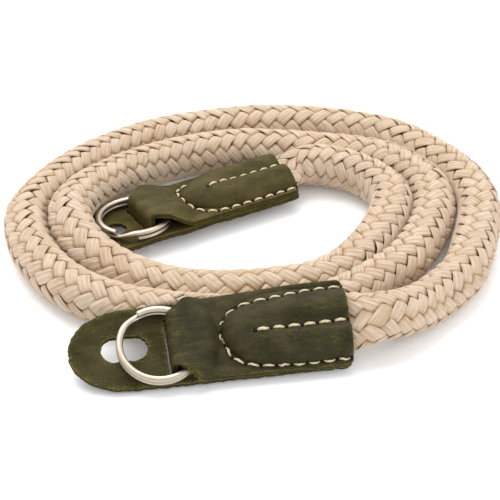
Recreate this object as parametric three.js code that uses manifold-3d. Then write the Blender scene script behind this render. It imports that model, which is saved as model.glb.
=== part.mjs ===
// A camera strap of braided rope, lying in a loose oval coil of two and a half turns. Each end of the
// rope is sewn flat into a leather end: a lower leather that runs on as a slotted tab, and an upper
// leather whose tongue folds down through a split ring and through a slit in the tab.
// Millimetres, +Z up. The strap lies on z = 0 and the origin is at the middle of its outline.
import * as THREE from "three";
import { mergeVertices } from "three/addons/utils/BufferGeometryUtils.js";
import Module from "manifold-3d";

const wasm = await Module();
wasm.setup();

// Driving dimensions
const ROPE_DIAMETER = 11;
const ROPE_SIDES = 12; // flats face down, up and sideways
const ROPE_RADIUS = ROPE_DIAMETER / 2 / Math.cos(Math.PI / ROPE_SIDES); // to the corners
const ROPE_STEPS = 80;
const SEWN_RINGS = 7; // rings of the rope that the sleeve's flat form reaches
const LEATHER = 1.6; // thickness of either leather
const PLY_GAP = 0.3; // between the two leathers, and between any two touching pieces
const WIDTH = 20.6; // of a leather end
const LENGTH = 64; // from the sleeve's mouth to the tip of the tab
const TIP_LENGTH = 13.5; // of the tab's elliptical tip
const SLEEVE_CORNER = 1.6; // rounding of the leathers' corners at the sleeve's mouth

const CHANNEL_WIDTH = 17.2; // across both rope channels, inside the stitching
const CHANNEL_ROUND = 19.5; // where the channels' rounded end begins
const CHANNEL_END = 28.8;
const CHANNEL_VALLEY = 0.38; // share of the height that the middle seam takes away
const VALLEY_END = [14, 24]; // the middle seam's valley fades over this stretch
const CHANNEL_RISE = 4.3; // of the upper leather over the rope

const ROPE_IN_SLEEVE = 20; // length of rope held in the sleeve
const ROPE_FLAT_FROM = -18; // the rope begins to flatten here, before the mouth at 0
const ROPE_FLAT_AT = -3;
const ROPE_CLEAR = 0.85; // between the flattened rope and the leathers
const ROPE_FLAT_WIDTH = 14.4;
const ROPE_LIFT = 2.3; // of the rope's middle above the tab's upper face

const RING_OUTER = 19.6;
const WIRE_WIDTH = 1.6; // along the ring's radius
const WIRE_HEIGHT = 1.1;
const WIRE_PITCH = 1.3; // from the lower turn to the upper one
const RING_STEPS = 52; // over both turns
const RING_STEP_ANGLE = 0.3; // half of the arc over which the wire climbs to its upper turn
const RING_SPLIT_FRONT = 5.48; // where the front ring's ends lie, as an angle about its axis
const RING_SPLIT_REAR = 0.9;

const FOLD_RADIUS = 1.3;
const TONGUE_WIDTH = 12.9;
const TONGUE_ASIDE = 0.45; // of its middle, toward the near edge
const TONGUE_TAPER = [-6, 1]; // the upper leather narrows to the tongue from before the fold to past it
const TONGUE_RETURN = 9; // length of tongue under the tab
const SLIT = [2.5, 14];
const SLOT = [10.7, 6.1];
const SLOT_CENTRE = 51.2;

// Each leather end's place: the middle of its mouth at the tab's upper face, the turn of its length
// about +Z, and the rise of its far edge at the mouth, in degrees. twist is how much flatter the tab
// lies than the mouth, in degrees. fold is the middle of the tongue's upright stretch, flare how far the
// upper leather's near edge lifts beside the ring, and droop how far the tab's tip bends down. ring is
// the ring's middle, along and toward the near edge, and the upper leather comes down between the
// distances ramp from it.
const FRONT = {
  ...{ at: [21.2, -41.6, 7.55], turn: 190, tilt: 35, twist: 11 },
  ...{ fold: 40.5, flare: 0, droop: 0, ring: [43.4, 0.8], ramp: [10.7, 13.8] },
};
const REAR = {
  ...{ at: [7.2, 27.3, 4], turn: 209.5, tilt: -4, twist: 0 },
  ...{ fold: 41.4, flare: 0.8, droop: 2, ring: [43.5, 0.4], ramp: [10.3, 15.8] },
};
const TWIST = [6, 33]; // the twist is spread over this stretch of the leather end
const DROOP_FROM = 44; // the tab is straight up to here

// The rope's middle line between the two sleeves, counter-clockwise from the front one.
const ROUTE = [
  [39.3, -32.7, 5.5], [46.6, -24.7, 5.5], [51.3, -17.2, 5.5], [54.6, -6.7, 5.5],
  [57.3, 5.5, 5.5], [57.6, 15.3, 5.5], [54.6, 25.3, 5.5], [48, 35.6, 5.5],
  [41, 43.1, 5.5], [33, 47.8, 5.5], [21, 51.3, 5.5], [10, 53, 5.5],
  [-1, 52.7, 5.5], [-14, 49.9, 5.5], [-24.7, 46.5, 5.5], [-33, 41.9, 5.5],
  [-42, 34.6, 5.5], [-48.5, 27.3, 5.5], [-55, 15.8, 5.5], [-57.7, 7.3, 5.5],
  [-57.4, 1.3, 5.5], [-54.8, -8.2, 5.5], [-50.5, -16.5, 5.5], [-45.6, -22.9, 5.5],
  [-40, -27.7, 5.5], [-32, -32.2, 5.5], [-22.5, -34.8, 5.4], [-12.8, -36, 5.1],
  [-1, -36.1, 5], [11, -33.9, 5.1], [21, -29.2, 5.4], [30, -21.7, 5.5],
  [36.5, -14.7, 5.5], [42, -4.7, 5.5], [45.5, 5.3, 5.5], [46.4, 15.3, 5.5],
  [44.5, 23.3, 5.5], [39, 31.3, 5.5], [33, 36.3, 5.5], [26, 38.9, 5.5],
  [17, 40.6, 5.5], [7, 41.5, 5.5], [-3, 41.1, 5.5], [-13, 38.3, 5.5],
  [-23, 34.2, 5.5], [-32, 28.3, 5.8], [-39, 21.3, 6.5], [-44.8, 12.2, 7.4],
  [-46.5, 2.9, 8.2], [-43.8, -6.4, 7.9], [-38, -14.4, 6.9], [-30, -20.7, 5.9],
  [-19, -25.7, 5.5], [-7, -27.1, 5.5], [5, -25.9, 5.5], [13.5, -23.5, 5.5],
  [21.3, -18.1, 5.5], [28.5, -7.7, 5.5], [34, 4.3, 5.5], [35.6, 14.3, 5.5],
  [33.5, 21.3, 5.5], [28.5, 27.1, 5.5],
];

const rope = new THREE.MeshStandardMaterial({ color: 0xe3cdb4, roughness: 0.9 });
const frontLeather = new THREE.MeshStandardMaterial({ color: 0x3f3f27, roughness: 0.65 });
const rearLeather = new THREE.MeshStandardMaterial({ color: 0x56502f, roughness: 0.65 });
const nickel = new THREE.MeshStandardMaterial({ color: 0xd6d1c6, roughness: 0.18, metalness: 1 });

const clamp = THREE.MathUtils.clamp;
const smoothstep = THREE.MathUtils.smoothstep;
const lerp = THREE.MathUtils.lerp;

// A closed geometry with its vertices moved by a function of each one's place, and its seams joined.
function reshaped(geometry, place) {
  const joined = geometry.clone();
  const position = joined.getAttribute("position");
  for (let i = 0; i < position.count; i++) {
    const p = place(position.getX(i), position.getY(i), position.getZ(i));
    position.setXYZ(i, p.x, p.y, p.z);
  }
  joined.deleteAttribute("normal");
  joined.deleteAttribute("uv");
  return mergeVertices(joined, 1e-4);
}

// A closed geometry as a solid that can be cut.
function solid(geometry) {
  const vertProperties = geometry.getAttribute("position").array;
  const triVerts = new Uint32Array(geometry.index.array);
  return new wasm.Manifold(new wasm.Mesh({ numProp: 3, vertProperties, triVerts }));
}

// The geometry of a cut solid.
function geometryOf(cut) {
  const mesh = cut.getMesh();
  const geometry = new THREE.BufferGeometry();
  geometry.setAttribute("position", new THREE.BufferAttribute(mesh.vertProperties, 3));
  geometry.setIndex(new THREE.BufferAttribute(mesh.triVerts, 1));
  return geometry;
}

// How far the channels reach at x along the sleeve, from 1 down to 0 at their rounded end.
function channelShare(x) {
  const into = clamp((x - CHANNEL_ROUND) / (CHANNEL_END - CHANNEL_ROUND), 0, 1);
  return Math.sqrt(1 - into * into);
}

// The height of the two channels side by side at (x, y), from 0 at the stitching to about 0.9.
function channels(x, y) {
  const share = channelShare(x);
  const across = (2 * Math.abs(y)) / (CHANNEL_WIDTH * Math.max(share, 0.05));
  if (across >= 1) return 0;
  const deep = CHANNEL_VALLEY * (1 - smoothstep(x, ...VALLEY_END));
  const valley = 1 - deep * Math.exp(-((across / 0.25) ** 2));
  return share * (1 - across ** 3) * valley;
}

// Half the width of a piece that is WIDTH wide with rounded corners at the sleeve's mouth.
function halfWidthNearMouth(x) {
  const corner = clamp(SLEEVE_CORNER - x, 0, SLEEVE_CORNER);
  return WIDTH / 2 - SLEEVE_CORNER + Math.sqrt(SLEEVE_CORNER ** 2 - corner ** 2);
}

// A leather of even thickness about a middle surface. middle(s, q) gives its point at s, from 0 to 1
// along the piece, and q, from -1 to 1 across it.
function leather(middle, along, across) {
  const small = 1e-3;
  return reshaped(new THREE.BoxGeometry(1, 1, 1, along, across, 1), (x, y, z) => {
    const s = x + 0.5;
    const q = 2 * y;
    const ahead = middle(Math.min(s + small, 1), q).sub(middle(Math.max(s - small, 0), q));
    const aside = middle(s, Math.min(q + small, 1)).sub(middle(s, Math.max(q - small, -1)));
    const normal = ahead.cross(aside).normalize();
    return middle(s, q).addScaledVector(normal, z * LEATHER);
  });
}

// The droop of a leather end at x along it.
function droopAt(x, place) {
  return place.droop * (Math.max(x - DROOP_FROM, 0) / (LENGTH - DROOP_FROM)) ** 2;
}

// A point turned by a leather end's twist at its x, about the lower near edge.
function turned(p, place, direction) {
  const angle = direction * smoothstep(p.x, ...TWIST) * THREE.MathUtils.degToRad(place.twist);
  const edge = new THREE.Vector3(0, WIDTH / 2, -LEATHER);
  return p.sub(edge).applyAxisAngle(new THREE.Vector3(1, 0, 0), angle).add(edge);
}

// A point of a straight leather end moved to its place on the bent one.
function bent(p, place) {
  p.z -= droopAt(p.x, place);
  return turned(p, place, 1);
}

// The tab's columns: even along its straight stretch, then by angle round its tip.
function tabMiddle(s, q) {
  const tipShare = 0.25;
  const straight = LENGTH - TIP_LENGTH;
  let x = (straight * s) / (1 - tipShare);
  let half = halfWidthNearMouth(x);
  if (s > 1 - tipShare) {
    const angle = ((s - 1 + tipShare) / tipShare) * THREE.MathUtils.degToRad(84);
    x = straight + TIP_LENGTH * Math.sin(angle);
    half = (WIDTH / 2) * Math.cos(angle);
  }
  return new THREE.Vector3(x, q * half, -LEATHER / 2);
}

// A slot with round ends through the tab.
function slotCutter() {
  const [length, width] = SLOT;
  const shape = new THREE.Shape();
  shape.absarc((length - width) / 2, 0, width / 2, -Math.PI / 2, Math.PI / 2);
  shape.absarc((width - length) / 2, 0, width / 2, Math.PI / 2, Math.PI * 1.5);
  const cutter = new THREE.ExtrudeGeometry(shape, {
    depth: 4 * LEATHER,
    bevelEnabled: false,
    curveSegments: 10,
  });
  return reshaped(cutter, (x, y, z) => new THREE.Vector3(x + SLOT_CENTRE, y, z - 3 * LEATHER));
}

// The slit that the tongue passes down through.
function slitCutter(fold) {
  const cutter = new THREE.BoxGeometry(SLIT[0], SLIT[1], 4 * LEATHER);
  const at = new THREE.Vector3(fold - 0.05, TONGUE_ASIDE, -LEATHER / 2);
  return reshaped(cutter, (x, y, z) => new THREE.Vector3(x, y, z).add(at));
}

function tabGeometry(place) {
  const whole = solid(leather(tabMiddle, 18, 12));
  const cut = whole.subtract(solid(slotCutter())).subtract(solid(slitCutter(place.fold)));
  return reshaped(geometryOf(cut), (x, y, z) => bent(new THREE.Vector3(x, y, z), place));
}

// The upper leather's middle line at the height that clears the ring: along the leather end, down at
// the fold, through the tab and back under it.
function coverLine(fold) {
  const overRing = 2 * PLY_GAP + WIRE_HEIGHT + WIRE_PITCH + LEATHER / 2;
  const underTab = -LEATHER - PLY_GAP - LEATHER / 2;
  const bend = fold - FOLD_RADIUS;
  const line = new THREE.Path();
  line.moveTo(0, overRing);
  line.lineTo(bend, overRing);
  line.absarc(bend, overRing - FOLD_RADIUS, FOLD_RADIUS, Math.PI / 2, 0, true);
  line.lineTo(fold, underTab + FOLD_RADIUS);
  line.absarc(bend, underTab + FOLD_RADIUS, FOLD_RADIUS, 0, -Math.PI / 2, true);
  line.lineTo(fold - TONGUE_RETURN, underTab);
  return line;
}

// How far the upper leather stands above its line at (x, y): down on the tab away from the ring, up
// over the rope, and up at its near edge beside the ring.
function coverRise(x, y, place) {
  const fromRing = Math.hypot(x - place.ring[0], y - place.ring[1]);
  const lowered = smoothstep(fromRing, ...place.ramp) * (PLY_GAP + WIRE_HEIGHT + WIRE_PITCH);
  const beside = smoothstep(x, 31, 37) * smoothstep(y, 1, WIDTH / 2 - 1);
  return CHANNEL_RISE * channels(x, y) - lowered + place.flare * beside;
}

// The upper leather's columns are closer from the fold on, where it bends.
function coverGeometry(place) {
  const line = coverLine(place.fold);
  const [columnsBefore, columnsAfter] = [17, 13];
  const foldShare = columnsBefore / (columnsBefore + columnsAfter);
  const foldAt = (place.fold - FOLD_RADIUS) / line.getLength();
  const [from, to] = TONGUE_TAPER.map((v) => (place.fold + v) / line.getLength());
  const middle = (s, q) => {
    const before = s < foldShare;
    const share = before
      ? (s / foldShare) * foldAt
      : lerp(foldAt, 1, (s - foldShare) / (1 - foldShare));
    const at = line.getPointAt(share);
    const taper = smoothstep(share, from, to);
    const half = lerp(before ? halfWidthNearMouth(at.x) : WIDTH / 2, TONGUE_WIDTH / 2, taper);
    const y = q * half + TONGUE_ASIDE * taper;
    const down = smoothstep(at.y, 0, line.getPointAt(0).y);
    const rise = before ? coverRise(at.x, y, place) : coverRise(place.fold, y, place) * down;
    return new THREE.Vector3(at.x, y, at.y + rise);
  };
  const flat = leather(middle, columnsBefore + columnsAfter, 12);
  return reshaped(flat, (x, y, z) => bent(new THREE.Vector3(x, y, z), place));
}

// A split ring: a flat wire of two turns that climbs from the lower turn to the upper one at its
// split, with its two ends cut square beside the climb. Its axis is +Z.
function ringGeometry() {
  const middle = (RING_OUTER - WIRE_WIDTH) / 2;
  const [start, end] = [RING_STEP_ANGLE, 4 * Math.PI - RING_STEP_ANGLE];
  const wire = new THREE.CylinderGeometry(1, 1, 1, 8, RING_STEPS, false, Math.PI / 8);
  return reshaped(wire, (x, y, z) => {
    const angle = lerp(start, end, y + 0.5);
    const turn = 2 * Math.PI;
    const climb = smoothstep(angle, turn - RING_STEP_ANGLE, turn + RING_STEP_ANGLE);
    const radius = middle + (x * WIRE_WIDTH) / 2;
    const up = PLY_GAP + WIRE_HEIGHT / 2 + WIRE_PITCH * climb + (z * WIRE_HEIGHT) / 2;
    return new THREE.Vector3(radius * Math.cos(angle), radius * Math.sin(angle), up);
  });
}

// A leather end with its ring, as a group in the strap's frame.
function leatherEnd(name, place, material, split) {
  const group = new THREE.Group();
  const { degToRad } = THREE.MathUtils;
  group.position.set(...place.at);
  group.rotation.set(-degToRad(place.tilt), 0, degToRad(place.turn), "ZYX");

  const tab = new THREE.Mesh(tabGeometry(place), material);
  tab.name = name + "_tab_leather";
  const cover = new THREE.Mesh(coverGeometry(place), material);
  cover.name = name + "_sleeve_leather";
  const ring = new THREE.Mesh(ringGeometry(), nickel);
  ring.name = name + "_split_ring";
  ring.position.copy(bent(new THREE.Vector3(...place.ring, 0), place));
  ring.rotation.set(degToRad(place.twist), 0, split, "XYZ");
  group.add(tab, cover, ring);
  group.updateMatrixWorld(true);
  return group;
}

// A point on the rope's middle line at x along a leather end.
function inSleeve(end, place, x) {
  return end.localToWorld(bent(new THREE.Vector3(x, 0, ROPE_LIFT), place));
}

// The whole middle line of the rope, from its end in the front sleeve to its end in the rear one.
function ropeCurve(front, rear) {
  const along = [ROPE_IN_SLEEVE, 12, 0, -8];
  const points = [
    ...along.map((x) => inSleeve(front, FRONT, x)),
    ...ROUTE.map((p) => new THREE.Vector3(...p)),
    ...along.reverse().map((x) => inSleeve(rear, REAR, x)),
  ];
  return new THREE.CatmullRomCurve3(points, false, "centripetal");
}

// The rope's vertices near a sleeve moved to its flat form there, two lobes beside the middle seam.
// centres are the middles of the rope's rings near that sleeve, which its vertices are told by.
function flattened(geometry, end, place, centres) {
  const inward = end.matrixWorld.clone().invert();
  return reshaped(geometry, (x, y, z) => {
    const vertex = new THREE.Vector3(x, y, z);
    const onRing = centres.some((c) => Math.abs(vertex.distanceTo(c) - ROPE_RADIUS) < 1e-3);
    const p = turned(vertex.clone().applyMatrix4(inward), place, -1);
    const flat = smoothstep(p.x, ROPE_FLAT_FROM, ROPE_FLAT_AT);
    if (!onRing || flat === 0) return vertex;
    const away = Math.hypot(p.y, p.z - ROPE_LIFT);
    const cosine = p.y / away;
    const share = channelShare(p.x);
    const flatY = Math.sign(cosine) * Math.abs(cosine) ** 2.2 * (ROPE_FLAT_WIDTH / 2) * share;
    const height = channels(Math.max(p.x, 0), flatY);
    const top = PLY_GAP + CHANNEL_RISE * height - ROPE_CLEAR;
    const flatZ = p.z > ROPE_LIFT ? Math.max(top, ROPE_CLEAR + 0.2) : ROPE_CLEAR;
    const moved = new THREE.Vector3(p.x, lerp(p.y, flatY, flat), lerp(p.z, flatZ, flat));
    return turned(moved, place, 1).applyMatrix4(end.matrixWorld);
  });
}

// A block round part of a leather end, which the soft rope is pressed in by. from and to are its
// corners in the leather end's straight frame.
function pressBlock(end, place, from, to) {
  const size = to.map((v, i) => v - from[i]);
  const block = new THREE.BoxGeometry(...size, 16, 1, 1);
  return solid(
    reshaped(block, (x, y, z) => {
      const centre = to.map((v, i) => (v + from[i]) / 2);
      const p = new THREE.Vector3(x, y, z).add(new THREE.Vector3(...centre));
      return bent(p, place).applyMatrix4(end.matrixWorld);
    }),
  );
}

function ropeGeometry(front, rear) {
  const section = new THREE.Shape();
  for (let i = 0; i < ROPE_SIDES; i++) {
    const angle = ((i + 0.5) / ROPE_SIDES) * 2 * Math.PI;
    section[i ? "lineTo" : "moveTo"](ROPE_RADIUS * Math.cos(angle), ROPE_RADIUS * Math.sin(angle));
  }
  const curve = ropeCurve(front, rear);
  const centres = curve.getSpacedPoints(ROPE_STEPS);
  const tube = new THREE.ExtrudeGeometry(section, { steps: ROPE_STEPS, extrudePath: curve });
  const frontSewn = flattened(tube, front, FRONT, centres.slice(0, SEWN_RINGS));
  const sewn = flattened(frontSewn, rear, REAR, centres.slice(-SEWN_RINGS));
  const settled = reshaped(sewn, (x, y, z) => new THREE.Vector3(x, y, Math.max(z, 0)));
  const side = WIDTH / 2 + PLY_GAP;
  const under = -LEATHER - PLY_GAP;
  const tail = [FRONT.fold - TONGUE_RETURN - PLY_GAP, FRONT.fold + LEATHER];
  const [seam, top] = [ROPE_IN_SLEEVE + 0.1, 3 * LEATHER];
  return geometryOf(
    solid(settled)
      .subtract(pressBlock(front, FRONT, [-PLY_GAP, -side, under], [LENGTH, side, 0.12]))
      .subtract(pressBlock(front, FRONT, [seam, -side, under], [LENGTH, 0, top]))
      .subtract(pressBlock(front, FRONT, [tail[0], -7.1, 2.1 * under], [tail[1], 7.1, under / 2]))
      .subtract(pressBlock(rear, REAR, [REAR.ring[0], -side, under], [LENGTH, side, PLY_GAP])),
  );
}

const strap = new THREE.Group();
const front = leatherEnd("front", FRONT, frontLeather, RING_SPLIT_FRONT);
const rear = leatherEnd("rear", REAR, rearLeather, RING_SPLIT_REAR);
const braidedRope = new THREE.Mesh(ropeGeometry(front, rear), rope);
braidedRope.name = "braided_rope";
strap.add(braidedRope, front, rear);

export default strap;
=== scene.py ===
"""The looks of a camera strap: a braided rope coiled two and a half times, with a leather end on each end.

Every size is in millimetres, in the strap's own frame, and becomes metres when a mesh is made.
"""

import logging
import math
from collections.abc import Callable, Sequence
from dataclasses import dataclass
from enum import Enum
from typing import Any

import bpy
import numpy as np
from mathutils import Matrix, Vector
from mathutils.geometry import delaunay_2d_cdt


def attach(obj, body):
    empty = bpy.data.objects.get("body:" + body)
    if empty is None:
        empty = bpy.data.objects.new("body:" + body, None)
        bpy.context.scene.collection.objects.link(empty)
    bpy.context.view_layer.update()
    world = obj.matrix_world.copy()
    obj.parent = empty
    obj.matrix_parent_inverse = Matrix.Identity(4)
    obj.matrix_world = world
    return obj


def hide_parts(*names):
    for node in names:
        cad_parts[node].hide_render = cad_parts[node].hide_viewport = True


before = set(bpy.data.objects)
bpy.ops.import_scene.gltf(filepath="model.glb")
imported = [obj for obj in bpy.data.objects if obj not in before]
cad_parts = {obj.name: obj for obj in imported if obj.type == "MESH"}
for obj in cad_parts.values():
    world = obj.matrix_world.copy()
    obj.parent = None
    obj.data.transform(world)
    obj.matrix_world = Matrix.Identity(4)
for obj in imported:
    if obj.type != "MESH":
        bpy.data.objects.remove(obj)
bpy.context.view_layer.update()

Array = np.ndarray
Colour = tuple[float, float, float]
Knots = tuple[tuple[float, ...], ...]
Waves = tuple[tuple[int, float, float], ...]
Material = bpy.types.Material

log = logging.getLogger("strap")

MM = 0.001


class Body(Enum):
    """The bodies that pieces ride on."""

    STRAP = "strap"
    FRONT_RING = "front_ring"
    REAR_RING = "rear_ring"


class Slot(Enum):
    """Material slots, by name."""

    ROPE = "rope"
    FRONT_LEATHER = "front_leather"
    REAR_LEATHER = "rear_leather"
    NICKEL = "nickel"


class Hand(Enum):
    """Which way a strand winds round the rope."""

    RIGHT = 1
    LEFT = -1


class Lay(Enum):
    """Where a lane of rope lies beside a leather end."""

    UNDER = "under"
    OVER = "over"


# ---- small maths


def smoothstep(x: Array | float, low: float, high: float) -> Array:
    """A smooth ramp over x, from 0 at low to 1 at high."""
    t = np.clip((np.asarray(x, float) - low) / (high - low), 0.0, 1.0)
    return t * t * (3 - 2 * t)


def bell(x: Array) -> Array:
    """A bell curve, 1 at 0 and a third at 1."""
    return np.exp(-(x**2))


def unit(v: Array) -> Array:
    """The vectors at length one."""
    return v / np.maximum(np.linalg.norm(v, axis=-1, keepdims=True), 1e-12)


def turned(points: Array, axis: int, angle: Array | float) -> Array:
    """Points turned about an axis.

    Args:
        points: The points.
        axis: 0 for X or 2 for Z.
        angle: How far, for all points or for each.

    Returns:
        The turned points.
    """
    out = np.array(points, float)
    i, j = (axis + 1) % 3, (axis + 2) % 3
    a, b = points[..., i], points[..., j]
    out[..., i] = np.cos(angle) * a - np.sin(angle) * b
    out[..., j] = np.sin(angle) * a + np.cos(angle) * b
    return out


def catmull_rom(points: Array, per_span: int) -> Array:
    """A smooth line through points, by centripetal Catmull-Rom spans.

    Args:
        points: The points that it passes through.
        per_span: How many points it has from one of them to the next.

    Returns:
        The line's points.
    """
    p = np.vstack([2 * points[0] - points[1], points, 2 * points[-1] - points[-2]])
    d = np.sqrt(np.linalg.norm(np.diff(p, axis=0), axis=1))[:, None]
    p0, p1, p2, p3 = p[:-3], p[1:-2], p[2:-1], p[3:]
    d0, d1, d2 = d[:-2], d[1:-1], d[2:]
    m1 = ((p1 - p0) / d0 - (p2 - p0) / (d0 + d1) + (p2 - p1) / d1) * d1
    m2 = ((p2 - p1) / d1 - (p3 - p1) / (d1 + d2) + (p3 - p2) / d2) * d1
    u = np.linspace(0, 1, per_span, endpoint=False)[:, None, None]
    line = p1 + u * m1 + u**2 * (3 * (p2 - p1) - 2 * m1 - m2) + u**3 * (2 * (p1 - p2) + m1 + m2)
    return np.vstack([line.transpose(1, 0, 2).reshape(-1, 3), points[-1:]])


def lengths_along(line: Array) -> Array:
    """How far along the line each of its points is."""
    return np.concatenate([[0.0], np.cumsum(np.linalg.norm(np.diff(line, axis=0), axis=1))])


def resampled(line: Array, at: Array) -> Array:
    """The line's points at the given distances along it."""
    along = lengths_along(line)
    return np.stack([np.interp(at, along, axis) for axis in line.T], -1)


def sideways(loop: Array) -> Array:
    """The flat directions across a closed line, to the right of its run."""
    ahead = np.roll(loop, -1, 0) - np.roll(loop, 1, 0)
    return unit(np.stack([ahead[:, 1], -ahead[:, 0]], -1))


def ripple(x: Array, y: Array, seed: int, height: float, wavelength: float) -> Array:
    """A seeded smooth unevenness over a plane, the sum of a few waves.

    Args:
        x: The places' first numbers.
        y: Their second numbers.
        seed: Which unevenness.
        height: How high most of its crests are.
        wavelength: Typical distance between them.

    Returns:
        Its heights.
    """
    waves = 9
    rng = np.random.default_rng(seed)
    turn = rng.uniform(0, 2 * math.pi, waves)
    wave = 2 * math.pi / (wavelength * rng.uniform(0.6, 1.7, waves))
    phase = rng.uniform(0, 2 * math.pi, waves)
    each = zip(np.cos(turn), np.sin(turn), wave, phase)
    return height / math.sqrt(waves) * sum(np.sin(w * (c * x + s * y) + f) for c, s, w, f in each)


# ---- making meshes


@dataclass
class Piece:
    """A mesh in the making.

    Attributes:
        name: The piece's name.
        points: Its vertices.
        faces: Arrays of polygons, a row of vertex numbers each.
        finishes: The material of each of those arrays, or one for all.
        fields: A number for each vertex, by name, that a finish reads.
        uv: Each vertex's place on the finish's own flat map.
    """

    name: str
    points: Array
    faces: list[Array]
    finishes: list[Material]
    fields: dict[str, Array] | None = None
    uv: Array | None = None

    def build(self) -> bpy.types.Object:
        """Makes the mesh, smooth shaded.

        Returns:
            The Blender object, linked to the scene.
        """
        mesh = bpy.data.meshes.new(self.name)
        faces = [face for part in self.faces for face in part.tolist()]
        mesh.from_pydata((self.points * MM).tolist(), [], faces)
        which = np.repeat(np.arange(len(self.faces)), [len(part) for part in self.faces])
        which = np.minimum(which, len(self.finishes) - 1).astype(np.int32)
        mesh.polygons.foreach_set("material_index", which)
        mesh.polygons.foreach_set("use_smooth", np.ones(len(faces), bool))
        for name, values in (self.fields or {}).items():
            field = mesh.attributes.new(name, "FLOAT", "POINT")
            field.data.foreach_set("value", np.asarray(values, np.float32))
        if self.uv is not None:
            corners = np.concatenate([part.ravel() for part in self.faces])
            layer = mesh.uv_layers.new(name="lie")
            layer.uv.foreach_set("vector", self.uv[corners].astype(np.float32).ravel())
        for finish in self.finishes:
            mesh.materials.append(finish)
        mesh.update(calc_edges=True)
        mesh.validate()
        made = bpy.data.objects.new(self.name, mesh)
        bpy.context.scene.collection.objects.link(made)
        return made


def placed(piece: Piece, body: Body, slot: Slot, *nodes: str) -> bpy.types.Object:
    """Builds a piece and puts it on its body.

    Args:
        piece: The mesh in the making.
        body: What it rides on.
        slot: Not used.
        nodes: The CAD nodes that it stands for.

    Returns:
        The Blender object.
    """
    made = piece.build()
    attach(made, body.value)
    if nodes:
        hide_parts(*nodes)
    triangles = sum(len(f) * (f.shape[1] - 2) for f in piece.faces)
    log.info("%s: %d triangles on %s", piece.name, triangles, body.value)
    return made


def walls(rings: Sequence[Array]) -> Array:
    """The four-sided faces between closed rings of vertex numbers, each ring to the next."""
    pairs = zip(rings[:-1], rings[1:])
    return np.vstack([np.stack([a, b, np.roll(b, -1), np.roll(a, -1)], -1) for a, b in pairs])


def tube_faces(rings: int, sides: int, start: int = 0) -> list[Array]:
    """The faces of a closed tube whose vertices run ring by ring.

    Args:
        rings: How many rings of vertices it has.
        sides: How many vertices a ring has.
        start: The number of its first vertex.

    Returns:
        Its wall and its two caps, as two arrays of polygons.
    """
    number = start + np.arange(rings * sides).reshape(rings, sides)
    on = np.roll(number, -1, 1)
    wall = np.stack([number[:-1], on[:-1], on[1:], number[1:]], -1)
    return [wall.reshape(-1, 4), np.stack([number[0, ::-1], number[-1]])]


def joined(tubes: Sequence[tuple[Array, int]]) -> tuple[Array, list[Array]]:
    """Several closed tubes as one set of points and faces.

    Args:
        tubes: For each tube, its points ring by ring and the count of a ring's vertices.

    Returns:
        All the points, and the arrays of faces.
    """
    faces, start = {}, 0
    for tube, sides in tubes:
        for part in tube_faces(len(tube) // sides, sides, start):
            faces.setdefault(part.shape[1], []).append(part)
        start += len(tube)
    return np.vstack([tube for tube, _ in tubes]), [np.vstack(parts) for parts in faces.values()]


def swept(line: Array, up: Array, section: Array) -> Array:
    """A flat section carried along a line.

    Args:
        line: The line's points.
        up: The direction of the section's second number, one for all points or for each.
        section: The section's corners, for all points or for each.

    Returns:
        The tube's points, ring by ring.
    """
    ahead = unit(np.gradient(line, axis=0))
    side = unit(np.cross(ahead, np.broadcast_to(up, line.shape)))
    top = np.cross(side, ahead)
    across = section[..., :1] * side[:, None] + section[..., 1:] * top[:, None]
    return (line[:, None] + across).reshape(-1, 3)


def round_section(sides: int, width: float, height: float, power: float = 2.0) -> Array:
    """A round or squarish section.

    Args:
        sides: How many corners it has.
        width: Its width.
        height: Its height.
        power: 2 for an ellipse, more for a squarer one.

    Returns:
        Its corners.
    """
    angle = 2 * math.pi * (np.arange(sides) + 0.5) / sides
    round_it = np.stack([np.cos(angle), np.sin(angle)], -1)
    return np.sign(round_it) * np.abs(round_it) ** (2 / power) * (width / 2, height / 2)


def fibres(
    starts: Array, ways: Array, lengths: Array, width: float, seed: int
) -> tuple[Array, list[Array]]:
    """Fine curved fibres, each a thin three-sided tube.

    Args:
        starts: Where they start, a row each.
        ways: Which way each one runs.
        lengths: How long each one is.
        width: How thick they are.
        seed: For their bends.

    Returns:
        All their points, and the arrays of faces.
    """
    bends = np.random.default_rng(seed).normal(0, 0.35, starts.shape)
    t = np.linspace(0, 1, 5)[:, None]
    section = round_section(3, 1, 1)[None] * (width * np.array([1, 1, 0.9, 0.7, 0.3]))[:, None, None]
    tubes = []
    for start, way, bend, long in zip(starts, unit(ways), bends, lengths):
        line = start + long * (way * t + bend * t**2)
        tubes.append((swept(line, np.roll(way, 1) + 0.1, section), 3))
    return joined(tubes)


# ---- finishes


def maths(operation: str, reflected: bool = False) -> Callable[..., "Shade"]:
    """The method behind an operator on shader sockets.

    Args:
        operation: What its Math node does.
        reflected: Whether the socket is the second value.

    Returns:
        The method.
    """

    def method(shade: "Shade", *others: "Shade | float") -> "Shade":
        """Adds the Math node and gives its output."""
        values = (*others, shade) if reflected else (shade, *others)
        return shade.graph.node("ShaderNodeMath", {"operation": operation}, dict(enumerate(values)))

    return method


@dataclass(frozen=True, eq=False)
class Shade:
    """A shader socket that Python's own operators work on."""

    graph: "Graph"
    socket: bpy.types.NodeSocket

    __add__ = __radd__ = maths("ADD")
    __mul__ = __rmul__ = maths("MULTIPLY")
    __sub__ = maths("SUBTRACT")
    __rsub__ = maths("SUBTRACT", reflected=True)
    sine = maths("SINE")

    def ramp(self, low: float, high: float) -> "Shade":
        """0 up to low and 1 from high on, smooth between them."""
        settings = {"interpolation_type": "SMOOTHSTEP"}
        return self.graph.node("ShaderNodeMapRange", settings, {0: self, 1: low, 2: high})


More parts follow.
